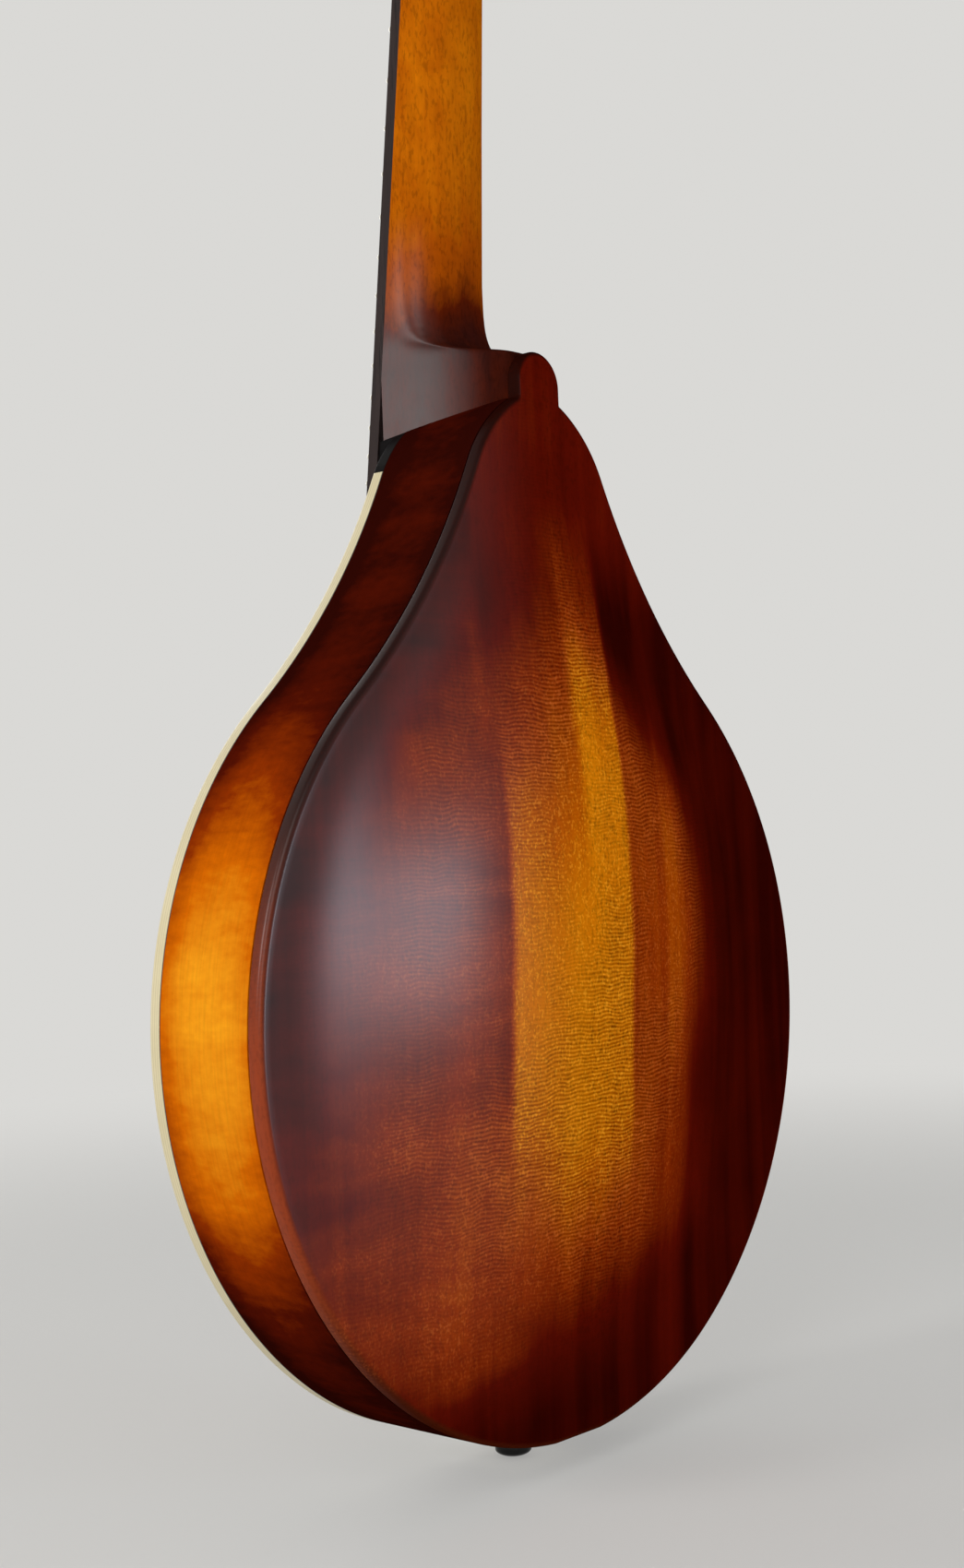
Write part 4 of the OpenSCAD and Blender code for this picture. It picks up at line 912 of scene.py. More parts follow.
def metal_finish(name):
    """Plated or polished metal: cloudy roughness, fine scratches, and a little tarnish. A second
    tint takes over behind the machines' plates, where the wheels are."""
    tint, rough, brushed, wheel = METALS[name]
    plate = Finish(name)
    at = plate.place()
    if wheel:
        ends = head_to_frame([[0.0, 0, 0], [0, HEAD_T + PLATE_T, 0]])
        axis = (ends[1] - ends[0]) / np.linalg.norm(ends[1] - ends[0])
        _, y, z = plate.axes(at)
        behind = y * float(axis[1]) + z * float(axis[2]) - float(ends[1] @ axis)
        tint = plate.mix(behind.smooth(0.0, 0.0002), tint, wheel)
    cloud = plate.noise(at, 90.0, 4.0, 0.6)
    scratch = plate.grain((1500, 1500, 120), 3.0, 0.6)
    tarnish = plate.noise(at, 35.0, 4.0, 0.6).smooth(0.58, 0.8)
    colour = plate.mix(tarnish * 0.14, tint, srgb(0, 0, 0))
    plate.bump(scratch, 0.00002, 0.15 + brushed)
    return plate.surface(
        Base_Color=colour,
        Metallic=1.0,
        Roughness=rough + (cloud - 0.5) * 0.16 + tarnish * 0.12,
    )


# scale of the cloud, its two tints, height and strength of the bump, roughness and its swing,
# specular share
BLACKS = {
    "gloss_black": (120.0, srgb(10, 9, 9), srgb(22, 20, 20), 0.00003, 0.2, 0.14, 0.08, 0.22),
    "satin_black": (160.0, srgb(8, 7, 7), srgb(20, 17, 17), 0.00004, 0.25, 0.4, 0.1, 0.04),
}


def black_finish(name):
    """Black lacquer or turned black plastic, polished or rubbed to a satin face."""
    scale, deep, worn, height, strength, rough, swing, shine = BLACKS[name]
    black = Finish(name)
    cloud = black.noise(black.place(), scale, 3.0, 0.5)
    black.bump(cloud, height, strength)
    return black.surface(
        Base_Color=black.mix(cloud, deep, worn),
        Roughness=rough + (cloud - 0.5) * swing,
        Specular_IOR_Level=shine,
    )


def pearl_finish(name):
    """Mother-of-pearl dots: pale, with soft cloudy colour."""
    pearl = Finish(name)
    cloud = pearl.noise(pearl.place(), 420.0, 2.0, 0.5, 1.5)
    colour = pearl.ramp(
        cloud, [(0.3, srgb(226, 222, 214)), (0.5, srgb(206, 214, 214)), (0.7, srgb(236, 226, 220))]
    )
    return pearl.surface(Base_Color=colour, Roughness=0.2 + (cloud - 0.5) * 0.1, Coat_Weight=0.5)


def wound_string_finish(name):
    """Bronze winding: close ridges round the string, from the length along it, with painted shade between
    the turns and lighter crowns.
    """
    wound = Finish(name)
    run = wound.attribute("along")
    ridge = ((run * 14.0).sin() + 1.0) * 0.5
    # painted shade: darker bronze between the turns, lighter on their crowns
    colour = wound.mix(ridge, srgb(112, 74, 36), srgb(206, 154, 88))
    wound.bump(ridge, 0.00008, 0.8)
    return wound.surface(Base_Color=colour, Metallic=1.0, Roughness=0.3 + ridge * 0.1)


# each material's maker, and the record's slot that it is usually made from
MATERIALS = {
    "back_sunburst": (back_finish, "back_finish"),
    "rib_sunburst": (rib_finish, "rib_finish"),
    "neck_sunburst": (neck_finish, "neck_finish"),
    "top_sunburst": (top_finish, "top_finish"),
    "cream_binding": (binding_finish, "ivory_binding"),
    "gloss_black": (black_finish, "black_plastic"),
    "satin_black": (black_finish, "ebony"),
    "ebony": (ebony_finish, "ebony"),
    "dark_board": (board_finish, "fretboard_wood"),
    "pearl": (pearl_finish, "dot_inlay"),
    "bone": (cream_finish, "bone"),
    "cream_button": (cream_finish, "cream_button"),
    "polished_frets": (metal_finish, "fret_metal"),
    "nickel": (metal_finish, "nickel_plate"),
    "post_and_wheel": (metal_finish, "nickel_plate"),
    "steel": (metal_finish, "steel"),
    "brass": (metal_finish, "brass_nut"),
    "raw_wood": (raw_wood, "raw_spruce"),
    "plain_string": (metal_finish, "string_steel"),
    "wound_string": (wound_string_finish, "string_bronze"),
}


def apply_finish(piece, name, slot=None):
    """Gives a piece the material of that name, made the first time it is asked for. The slot argument is not
    used."""
    maker, usual = MATERIALS[name]
    material = bpy.data.materials.get(name) or maker(name)
    piece.data.materials.clear()
    piece.data.materials.append(material)
    if piece.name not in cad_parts:
        slot = slot or usual


# ---------------------------------------------------------------- operators
class MANDOLIN_PG_body(bpy.types.PropertyGroup):
    """Sizes and colours of the body."""

    sunburst_light: bpy.props.FloatVectorProperty(
        name="Light stain",
        description="Colour in the middle of the back",
        subtype="COLOR",
        size=3,
        min=0,
        max=1,
        default=BACK_STAINS_AND_SHADOW["gold"],
    )
    edge_round: bpy.props.FloatProperty(
        name="Back edge radius",
        description="Radius of the rounded rim of the back",
        subtype="DISTANCE",
        unit="LENGTH",
        default=0.002,
        min=0.0005,
        max=0.003,
    )


class MANDOLIN_PG_stage(bpy.types.PropertyGroup):
    """Floor, light and camera."""

    floor_colour: bpy.props.FloatVectorProperty(
        name="Floor colour",
        description="Colour of the floor and the backdrop",
        subtype="COLOR",
        size=3,
        min=0,
        max=1,
        default=srgb(226, 225, 222),
    )
    key_power: bpy.props.FloatProperty(
        name="Key light",
        description="Power of the main soft light",
        subtype="POWER",
        unit="POWER",
        default=11.0,
        min=0.0,
        max=200.0,
    )


# rings of the rounded edge, radius of the inner edge, and the fillet beside the button
EDGE_RINGS, INNER_EDGE_R, BUTTON_FILLET = 9, 0.9, 2.2


class MANDOLIN_OT_back(bpy.types.Operator):
    """Carved back with its rounded rim and the button over the heel"""

    bl_idname = "mandolin.back"
    bl_label = "Back"

    def execute(self, context):
        edge_r = context.scene.mandolin_body.edge_round / MM
        half_w, fillet = BUTTON_W / 2, BUTTON_FILLET
        body = HALF[HALF[:, 0] > half_w + fillet * 0.6]
        tip = BODY_L + BUTTON_L
        side = np.array([[half_w, z] for z in np.linspace(body[-1, 1] + fillet, tip - half_w, 10)])
        a = np.radians(np.arange(6, 91, 6))
        cap = np.stack([half_w * np.cos(a), tip - half_w + half_w * np.sin(a)], 1)
        cap[-1, 0] = 0
        bend = np.array([0.25, 0.5, 0.75])[:, None]
        p, q = body[-1], side[0]
        corner = np.array([half_w, body[-1, 1] + 0.4])
        joint = (1 - bend) ** 2 * p + 2 * bend * (1 - bend) * corner + bend**2 * q
        rim = mirrored(np.vstack([body, joint, side, cap]))
        rings, shares, rows = carved_plate(
            rim, mirrored(HALF), BACK_ARCH, BACK_EDGE, edge_r, INNER_EDGE_R
        )
        points, faces, share = plate_shell(rings, shares, rows)
        points[:, 1] = BODY_D - points[:, 1]
        edge = np.zeros(rings.shape[:2])
        edge[:EDGE_RINGS], edge[EDGE_RINGS], edge[EDGE_RINGS + 1] = 1, 0.7, 0.3
        piece = mesh_piece(
            "carved_back",
            to_frame(points),
            faces,
            smooth=50,
            attributes=[("share", share), ("edge", np.append(edge.reshape(-1), [0, 0]))],
        )
        apply_finish(piece, "back_sunburst")
        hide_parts("back_plate")
        return {"FINISHED"}


# heights up the rib, and how far its stain has gone from gold to near-black there
RIB_SHADES = (
    (0, 18, 42, 64, 88, 116, 152, 181, 206, 236, 286, 326),
    (0.96, 0.93, 0.84, 0.66, 0.3, 0.12, 0.06, 0.26, 0.54, 0.84, 0.9, 0.97),
)
# rows of points across a rib
RIB_ROWS = 17


class MANDOLIN_OT_ribs(bpy.types.Operator):
    """Bent ribs with the lengthwise shading of their stain"""

    bl_idname = "mandolin.ribs"
    bl_label = "Ribs"

    def execute(self, context):
        for side, node in ((1, "side_treble"), (-1, "side_bass")):
            inner = inset(HALF, RIB_T)
            inner[:, 0] = np.maximum(inner[:, 0], 0)
            ys = RIB_Y0 + (RIB_Y1 - RIB_Y0) * np.linspace(0, 1, RIB_ROWS)
            ring = [at_depth(HALF, y) for y in ys]
            ring += [at_depth(inner, y) for y in (ys[-1], ys[0])]
            grid = np.array(ring).transpose(1, 0, 2)
            grid[..., 0] *= side
            tone = np.interp(HALF[:, 1], *RIB_SHADES)
            tone = np.broadcast_to(tone[:, None], grid.shape[:2])
            across = np.broadcast_to(
                np.append(np.linspace(0, 1, RIB_ROWS), [1, 0])[None], grid.shape[:2]
            )
            piece = ring_piece(node + "_bent", grid, smooth=40, share=tone, across=across)
            apply_finish(piece, "rib_sunburst")
            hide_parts(node)
        return {"FINISHED"}


class MANDOLIN_OT_binding(bpy.types.Operator):
    """Cream binding round the edge of the top, cut square at the heel"""

    bl_idname = "mandolin.binding"
    bl_label = "Binding"

    def execute(self, context):
        outer, inner = below(HALF, TOP_END_Z), below(inset(HALF, BINDING_W), TOP_END_Z)
        count = min(len(outer), len(inner))
        outer, inner = self.both_sides(outer, count), self.both_sides(inner, count)
        section = [(0, TOP_EDGE), (0, TOP_EDGE * 0.5), (0, 0.45), (0.06, 0.2), (0.2, 0.06)]
        section += [(0.45, 0), (BINDING_W, 0), (BINDING_W, TOP_EDGE)]
        rows = [at_depth(outer + (inner - outer) * (x / BINDING_W), y) for x, y in section]
        piece = ring_piece("edge_binding", np.array(rows).transpose(1, 0, 2), smooth=50)
        apply_finish(piece, "cream_binding")
        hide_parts("top_binding")
        return {"FINISHED"}

    def both_sides(self, half, count):
        """A half outline with a number of points, from its mirror image's end to its own."""
        t, known = np.linspace(0, 1, count), np.linspace(0, 1, len(half))
        half = np.stack([np.interp(t, known, half[:, k]) for k in (0, 1)], 1)
        return np.vstack([half[:0:-1] * np.array([-1, 1]), half])


# depths from which to which the f-holes are cut
CUT_FRONT, CUT_BACK = -20.0, 14.0


class MANDOLIN_OT_top(bpy.types.Operator):
    """Carved top with its f-holes cut through"""

    bl_idname = "mandolin.top"
    bl_label = "Top"

    def execute(self, context):
        rim = below(inset(HALF, BINDING_W), TOP_END_Z)
        end = rim[-1]
        across = np.stack([np.linspace(end[0], 0, 14)[1:], np.full(13, end[1])], 1)
        rim = mirrored(np.vstack([rim, across]))
        rings, shares, rows = carved_plate(rim, rim, TOP_ARCH, TOP_EDGE, 0.4, 0.3)
        points, faces, share = plate_shell(rings, shares, rows)
        piece = mesh_piece(
            "carved_top", to_frame(points), faces, smooth=50, attributes=[("share", share)]
        )
        cut_with(piece, self.fholes())
        apply_finish(piece, "top_sunburst")
        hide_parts("soundboard")
        return {"FINISHED"}

    def fholes(self):
        """Both f-holes as prisms: a stem whose middle sways as a sine and whose half width
        falls from the middle as cos^0.8, and a round eye at each end."""
        t = np.linspace(-1, 1, 61)
        mid = np.stack([FHOLE_W * 0.62 * np.sin(np.pi * t), FHOLE_L / 2 * t], 1)
        half = FHOLE_W / 2 * (0.25 + 0.75 * np.clip(np.cos(np.pi / 2 * t), 0, 1) ** 0.8)
        side = np.stack([half, np.zeros(61)], 1)
        loop = np.vstack([mid + side, (mid - side)[::-1]])
        a = np.linspace(0, 2 * np.pi, 40, endpoint=False)
        eye = FHOLE_EYE * np.stack([np.cos(a), np.sin(a)], 1)
        loops = [loop] + [
            eye + np.array([-s * (FHOLE_EYE - 0.8), s * FHOLE_L / 2]) for s in (-1, 1)
        ]
        turn = math.radians(FHOLE_TILT)
        spin = np.array([[math.cos(turn), -math.sin(turn)], [math.sin(turn), math.cos(turn)]])
        shells = []
        for flip in (1, -1):
            for k, flat in enumerate(loops):
                p = flat @ spin.T + np.array([FHOLE_X, BRIDGE_Z])
                n, reach = len(p), 0.01 * k
                near = at_depth(p * [flip, 1], CUT_FRONT - reach)
                far = near + np.array([0, CUT_BACK - CUT_FRONT + 2 * reach, 0])
                faces = [[i, (i + 1) % n, n + (i + 1) % n, n + i] for i in range(n)]
                faces += [list(range(n)), list(range(2 * n - 1, n - 1, -1))]
                shells.append((np.vstack([near, far]), faces))
        cutter = None
        for points, faces in shells:
            part = cutting_tool("fhole", to_frame(points), faces)
            if cutter is None:
                cutter = part
            else:
                combine(cutter, part, "UNION")
        return cutter


# height over the heel, share of the way from the neck's depth to the heel's, and the section's
# exponent there
NECK_FORM = (
    (-3, 1, 5),
    (-0.6, 0.985, 5),
    (0.9, 0.93, 4.8),
    (2.2, 0.72, 4.5),
    (3.3, 0.46, 4.2),
    (4.3, 0.3, 4.0),
    (5.6, 0.19, 3.7),
    (7.2, 0.115, 3.4),
    (9.2, 0.065, 3.1),
    (12, 0.028, 2.8),
    (15, 0.008, 2.6),
    (20, 0, 2.4),
    (30, 0, 2.2),
    (80, 0, 2.1),
    (162, 0, 2.1),
)
# how much longer the flanks' swell is than the middle's
FLANK_REACH = 1.8
# heights up the neck, and how far its stain has gone from amber to dark there, with painted shade at the
# darkest step, where the neck curves into the heel
NECK_SHADES = (
    (340, 350, 358, 366, 374, 390, 403, 440, 468, NUT_Z + NUT_T),
    (0.92, 1, 0.88, 0.62, 0.42, 0.3, 0.2, 0.12, 0.18, 0.72),
)
HEAD_SHADE = 0.72
# radius of a post's bore, and the ranges of the pocket round the rod's nut
BORE_R = 4.2
ROD_POCKET = ((-5.5, 5.5), (-5.0, 10.0), (-0.5, 23.5))


class MANDOLIN_OT_neck(bpy.types.Operator):
    """Neck with its heel, and the tilted headstock"""

    bl_idname = "mandolin.neck"
    bl_label = "Neck"

    def execute(self, context):
        self.neck_wood()
        self.headstock()
        return {"FINISHED"}

    def neck_wood(self):
        """Sections up the neck: half an ellipse-like curve |cos a|^e, |sin a|^e under a flat
        face, whose depth swells to the heel's and whose width narrows to the button's. The
        flanks swell over a longer height. The lowest ring lies on the end of the body."""
        height, share, square = np.array(NECK_FORM).T
        top = NUT_Z - HEEL_Z + NUT_T
        v = np.concatenate([np.linspace(-3, 20, 72), np.linspace(21.5, top, 58)])
        fine = np.linspace(-4, top, 1600)
        kernel = np.hanning(21)
        swell = np.convolve(np.interp(fine, height, share), kernel / kernel.sum(), "same")
        power = np.interp(v, height, square)
        a = np.radians(np.linspace(0, 180, 49))
        slow = 1 + FLANK_REACH * (1 - np.sin(a)) ** 2
        level = v[:, None]
        depth_share = np.interp(np.where(level > 0, level / slow, level), fine, swell)
        z = HEEL_Z + v
        front = board_back(z)
        thin = NECK_T + NECK_GROWTH * (NUT_Z - z) / (NUT_Z - HEEL_Z)
        depth = thin[:, None] + (HEEL_Y - front - thin)[:, None] * depth_share
        half_f = board_half_z(z)
        half_b = np.minimum(half_f, BUTTON_W / 2)
        e = (2 / power)[:, None]
        y = np.clip(np.sin(a), 0, 1)[None] ** e
        half = half_f[:, None] + (half_b - half_f)[:, None] * y * depth_share
        x = np.sign(np.cos(a)) * np.abs(np.cos(a)) ** e * half
        grid = grid_of(x, front[:, None] + depth * y, z[:, None])
        foot = grid[:1].copy()
        end = np.interp(np.abs(foot[..., 0]), HALF[::-1][:60, 0], HALF[::-1][:60, 1])
        foot[..., 2] = end - 0.5
        steps = np.linspace(0, 1, 5)[:-1, None, None]
        low = foot + (grid[:1] - foot) * steps
        low[..., 1] = np.maximum(low[..., 1], board_back(low[..., 2]))
        grid = np.concatenate([low, grid])
        reach = grid[..., 2] + 0.5 * np.abs(grid[..., 0])
        # stain from amber to dark, and painted shade in the hollow where the neck curves into the heel
        shade = np.interp(reach, *NECK_SHADES)
        piece = ring_piece("neck_wood", grid, smooth=48, share=shade)
        apply_finish(piece, "neck_sunburst")
        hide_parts("neck")

    def headstock(self):
        """The headstock's outline carried through its depth with rounded edges, bored for the
        posts and cut for the rod's nut."""
        loop = head_loop()
        depth = [(0.0, 0.0), (0.0, HEAD_T - 1.0)]
        depth += [(1 - math.cos(a), HEAD_T - 1 + math.sin(a)) for a in np.radians([22, 45, 67, 90])]
        grid = rounded_plate(loop, depth)
        shade = np.full(grid.shape[:2], HEAD_SHADE)
        piece = ring_piece("headstock_wood", grid, head_to_frame, smooth=40, share=shade)
        shells = []
        for n in range(8):
            at = np.array([post_x(n), 0, post_z(n)])
            hole = lathe([(BORE_R, -5), (BORE_R, 30)], 32)[..., [0, 2, 1]] + at
            shells.append(ring_shell(hole)[:2])
        box = np.array(list(itertools.product(*ROD_POCKET)))
        quads = [[0, 1, 3, 2], [4, 6, 7, 5], [0, 4, 5, 1], [2, 3, 7, 6], [0, 2, 6, 4], [1, 5, 7, 3]]
        shells.append((box, quads))
        points, faces = join_shells(shells)
        bores = (head_to_frame(points), faces)
        cut_with(piece, cutting_tool("bores", *bores))
        ahead = head_to_body(np.array([[0.0, 0, 0], [0, 1, 0]]))
        flat_along(piece, ahead[1] - ahead[0])
        apply_finish(piece, "neck_sunburst")
        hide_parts("neck")
        overlay = rounded_plate(
            loop, [(0.5, -OVERLAY_T), (0.15, -OVERLAY_T + 0.15), (0, -OVERLAY_T + 0.5), (0, 0)]
        )
        face = ring_piece("headstock_face", overlay, head_to_frame, smooth=40)
        cut_with(face, cutting_tool("bores", *bores))
        flat_along(face, ahead[1] - ahead[0])
        apply_finish(face, "gloss_black", "black_lacquer")
        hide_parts("headstock_overlay")


def board_back(z):
    """Depth of the fretboard's back at a height of the body's frame."""
    lean = math.radians(NECK_ANGLE)
    return NUT_Y - (NUT_Z - z) * math.tan(lean) + BOARD_T / math.cos(lean)


def board_half(distance):
    """Half the fretboard's width at a distance from the nut."""
    return (NUT_W + (BOARD_END_W - NUT_W) * np.maximum(distance, 0) / BOARD_L) / 2


def board_half_z(z):
    """Half the fretboard's width at a height of the body's frame."""
    return board_half((NUT_Z - z) / math.cos(math.radians(NECK_ANGLE)))


def fret_z(n):
    """A fret's place below the nut: the scale less its 2^(-n/12) part."""
    return -SCALE_L * (1 - 2 ** (-n / 12))


def head_half(z):
    """Half the headstock's width: a cosine flare, then sides drawn in a little."""
    flare = NUT_W / 2 + (HEAD_W - NUT_W) / 2 * (1 - np.cos(np.pi * z / HEAD_FLARE)) / 2
    straight = HEAD_W / 2 - HEAD_DRAW * (z - HEAD_FLARE) / (HEAD_L - HEAD_FLARE)
    return np.where(z < HEAD_FLARE, flare, straight)


def head_loop():
    """The headstock's outline: flare, sides and a bowed crown, mirrored."""
    z = np.concatenate([np.linspace(0, HEAD_FLARE, 30), np.linspace(HEAD_FLARE + 4, HEAD_L, 24)])
    side = np.stack([head_half(z), z], 1)
    end = float(head_half(HEAD_L))
    x = end * np.linspace(1, 0, 26)[1:]
    crown = HEAD_L + HEAD_CROWN * (1 - np.cos(np.pi * (1 - x / end))) / 2
    return mirrored(np.vstack([side, np.stack([x, crown], 1)]))


def rounded_plate(loop, levels):
    """Rings of a flat piece: the outline at each (inset, depth) pair, moved in along its
    normals."""
    ahead, behind = np.roll(loop, -1, 0), np.roll(loop, 1, 0)
    along = ahead - behind
    along /= np.linalg.norm(along, axis=1)[:, None]
    inwards = np.stack([-along[:, 1], along[:, 0]], 1)
    return np.array([at_depth(loop + inwards * inset_by, y) for inset_by, y in levels])


def post_x(n):
    """Sideways place of a post, 0 to 3 up the treble side and 4 to 7 up the bass side."""
    return POST_X if n < 4 else -POST_X


def post_z(n):
    """Height of a post over the nut."""
    return POST_FIRST + POST_STEP * (n % 4)


class MANDOLIN_OT_frets(bpy.types.Operator):
    """Domed frets with rounded ends, and the fretboard's and dots' finishes"""

    bl_idname = "mandolin.frets"
    bl_label = "Frets"

    def execute(self, context):
        shells = []
        a = np.radians(np.linspace(0, 180, 13))
        for n in range(1, FRET_COUNT + 1):
            half = float(board_half(-fret_z(n)))
            u = np.array([0, 0.12, 0.3, 0.55, 0.8, 1.0])
            x = np.concatenate([-half + 0.55 * u, [0]])
            x = np.concatenate([x, -x[:-1][::-1]])
            swell = np.sin(u * np.pi / 2) ** 0.6 * 0.75 + 0.25
            swell = np.concatenate([swell, [1], swell[::-1]])
            y = -FRET_H * np.sin(a)[None] * swell[:, None]
            z = fret_z(n) + FRET_W / 2 * np.cos(a)[None] * (0.5 + 0.5 * swell[:, None])
            shells.append(ring_shell(grid_of(x[:, None], y, z))[:2])
        points, faces = join_shells(shells)
        piece = mesh_piece("fret_wire", to_frame(neck_to_body(points)), faces, smooth=60)
        apply_finish(piece, "polished_frets")
        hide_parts("frets")
        apply_finish(softened("fretboard", 0.35), "dark_board")
        apply_finish(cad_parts["fret_dots"], "pearl")
        apply_finish(softened("fretboard_support", 0.3), "satin_black")
        apply_finish(softened("nut", 0.3, segments=2), "bone")
        return {"FINISHED"}


# radius and length of the button's screw
SCREW_R, SCREW_L = 2.0, 14


class MANDOLIN_OT_strap_button(bpy.types.Operator):
    """Turned strap button on the tail"""

    bl_idname = "mandolin.strap_button"
    bl_label = "Strap button"

    def execute(self, context):
        r, low = STRAP_D / 2, -STRAP_DOME - STRAP_BAND / 2
        foot = low + STRAP_H
        a = np.radians(np.linspace(0, 90, 14))
        head = [(r * math.sin(t), low + STRAP_DOME * (1 - math.cos(t))) for t in a[1:]]
        head += [(r, STRAP_BAND / 2 - 0.3), (r - 0.12, STRAP_BAND / 2 - 0.05)]
        head += [(r - 0.4, STRAP_BAND / 2 + 0.2), (r - 1.2, STRAP_BAND / 2 + 0.9)]
        start = STRAP_BAND / 2 + 1.4
        u = np.linspace(0, 1, 14)
        waist = r - 2.3 - 0.6 * np.sin(np.pi * u) + 1.4 * u**3
        head += list(zip(waist, start + (foot - start) * u))
        head += [(SCREW_R, foot), (SCREW_R, foot + SCREW_L), (0.4, foot + SCREW_L)]
        grid = lathe([(0.15, low)] + head, 72)
        piece = ring_piece("strap_button_turned", grid, lambda p: p * MM, smooth=50)
        apply_finish(piece, "gloss_black")
        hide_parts("strap_button")
        return {"FINISHED"}


class MANDOLIN_OT_tuners(bpy.types.Operator):
    """Tuning machines: oval buttons, plates, posts, worms and screws"""

    bl_idname = "mandolin.tuners"
    bl_label = "Tuning machines"

    def execute(self, context):
        for n in range(8):
            self.button(n)
            worm = softened("worm_shaft_%d" % (n + 1), 0.12, "key_%d" % (n + 1), 2)
            apply_finish(worm, "steel")
            post = softened("string_post_%d" % (n + 1), 0.12, "post_%d" % (n + 1), 2)
            apply_finish(post, "post_and_wheel")
        for node in ("tuner_plate_treble", "tuner_plate_bass", "post_bushings", "headstock_screws"):
            apply_finish(softened(node, 0.25), "nickel")
        apply_finish(softened("truss_rod_cover", 0.4), "gloss_black")
        apply_finish(softened("truss_rod_nut", 0.2, "truss_nut"), "brass")
        apply_finish(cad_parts["truss_rod"], "steel")
        return {"FINISHED"}

    def button(self, n):
        """An oval button: sections across the shaft that swell as cos^0.5 from both ends, each
        a rounded oval, wider than it is thick, with a waist towards the stem."""
        side = 1 if n < 4 else -1
        key_x = HEAD_W / 2 - POST_X + KEY_GAP
        u = np.linspace(-1, 1, 41)
        size = np.clip(1 - np.abs(u) ** 3.2, 0, 1) ** 0.5
        size = np.maximum(size, 0.06)
        a = np.linspace(0, 2 * np.pi, 48, endpoint=False)
        c, s = np.cos(a), np.sin(a)
        oval = np.stack([np.sign(c) * np.abs(c) ** 0.85, np.sign(s) * np.abs(s) ** 0.85], -1)
        x = KEY_L / 2 * u[:, None]
        thick, wide = KEY_T / 2 * size[:, None], KEY_W / 2 * size[:, None]
        grid = grid_of(x, thick * oval[:, 0], wide * oval[:, 1])
        centre = np.array(
            [post_x(n) + side * (key_x + KEY_L / 2), HEAD_T + PLATE_T + WORM_Y, post_z(n) - MESH_Z]
        )
        name, body = "tuning_button_%d" % (n + 1), "key_%d" % (n + 1)
        piece = ring_piece(name + "_oval", grid, lambda p: head_to_frame(p + centre), body, 60)
        apply_finish(piece, "cream_button")
        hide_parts(name)


class MANDOLIN_OT_bridge(bpy.types.Operator):
    """Bridge with its thumbwheels, and the tailpiece"""

    bl_idname = "mandolin.bridge"
    bl_label = "Bridge and tailpiece"

    def execute(self, context):
        apply_finish(softened("bridge_base", 0.5), "ebony")
        apply_finish(softened("bridge_saddle", 0.3, "bridge", 2), "ebony")
        for side in ("treble", "bass"):
            apply_finish(softened("thumbwheel_" + side, 0.12, "wheel_" + side, 2), "nickel")
        apply_finish(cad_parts["bridge_studs"], "steel")
        apply_finish(softened("tailpiece", 0.6), "nickel")
        apply_finish(softened("tailpiece_screws", 0.25), "nickel")
        return {"FINISHED"}


# spread of the pairs and gap in a pair at the tailpiece, the saddle and the nut
TAIL_FAN, SADDLE_FAN, NUT_FAN = (30.0, 3.4), (42.0, 3.0), (22.6, 2.4)
# depth of the tailpiece's hooks and of the strings on the saddle, and their rise over the frets
HOOK_Y, SADDLE_Y, NUT_LIFT = -13.4, -BOARD_RISE - FRET_H - 3.0, 0.4
# turns on a post, steps in a turn, gap between turns, and their start over the face
COIL_TURNS, COIL_STEPS, COIL_GAP, COIL_DEPTH = 3.4, 28, 0.06, 6.3
# depth of the post's waist, gap between string and waist, and sides of a string
WAIST_CUT, WAIST_GAP, WIRE_SIDES = 0.45, 0.03, 10


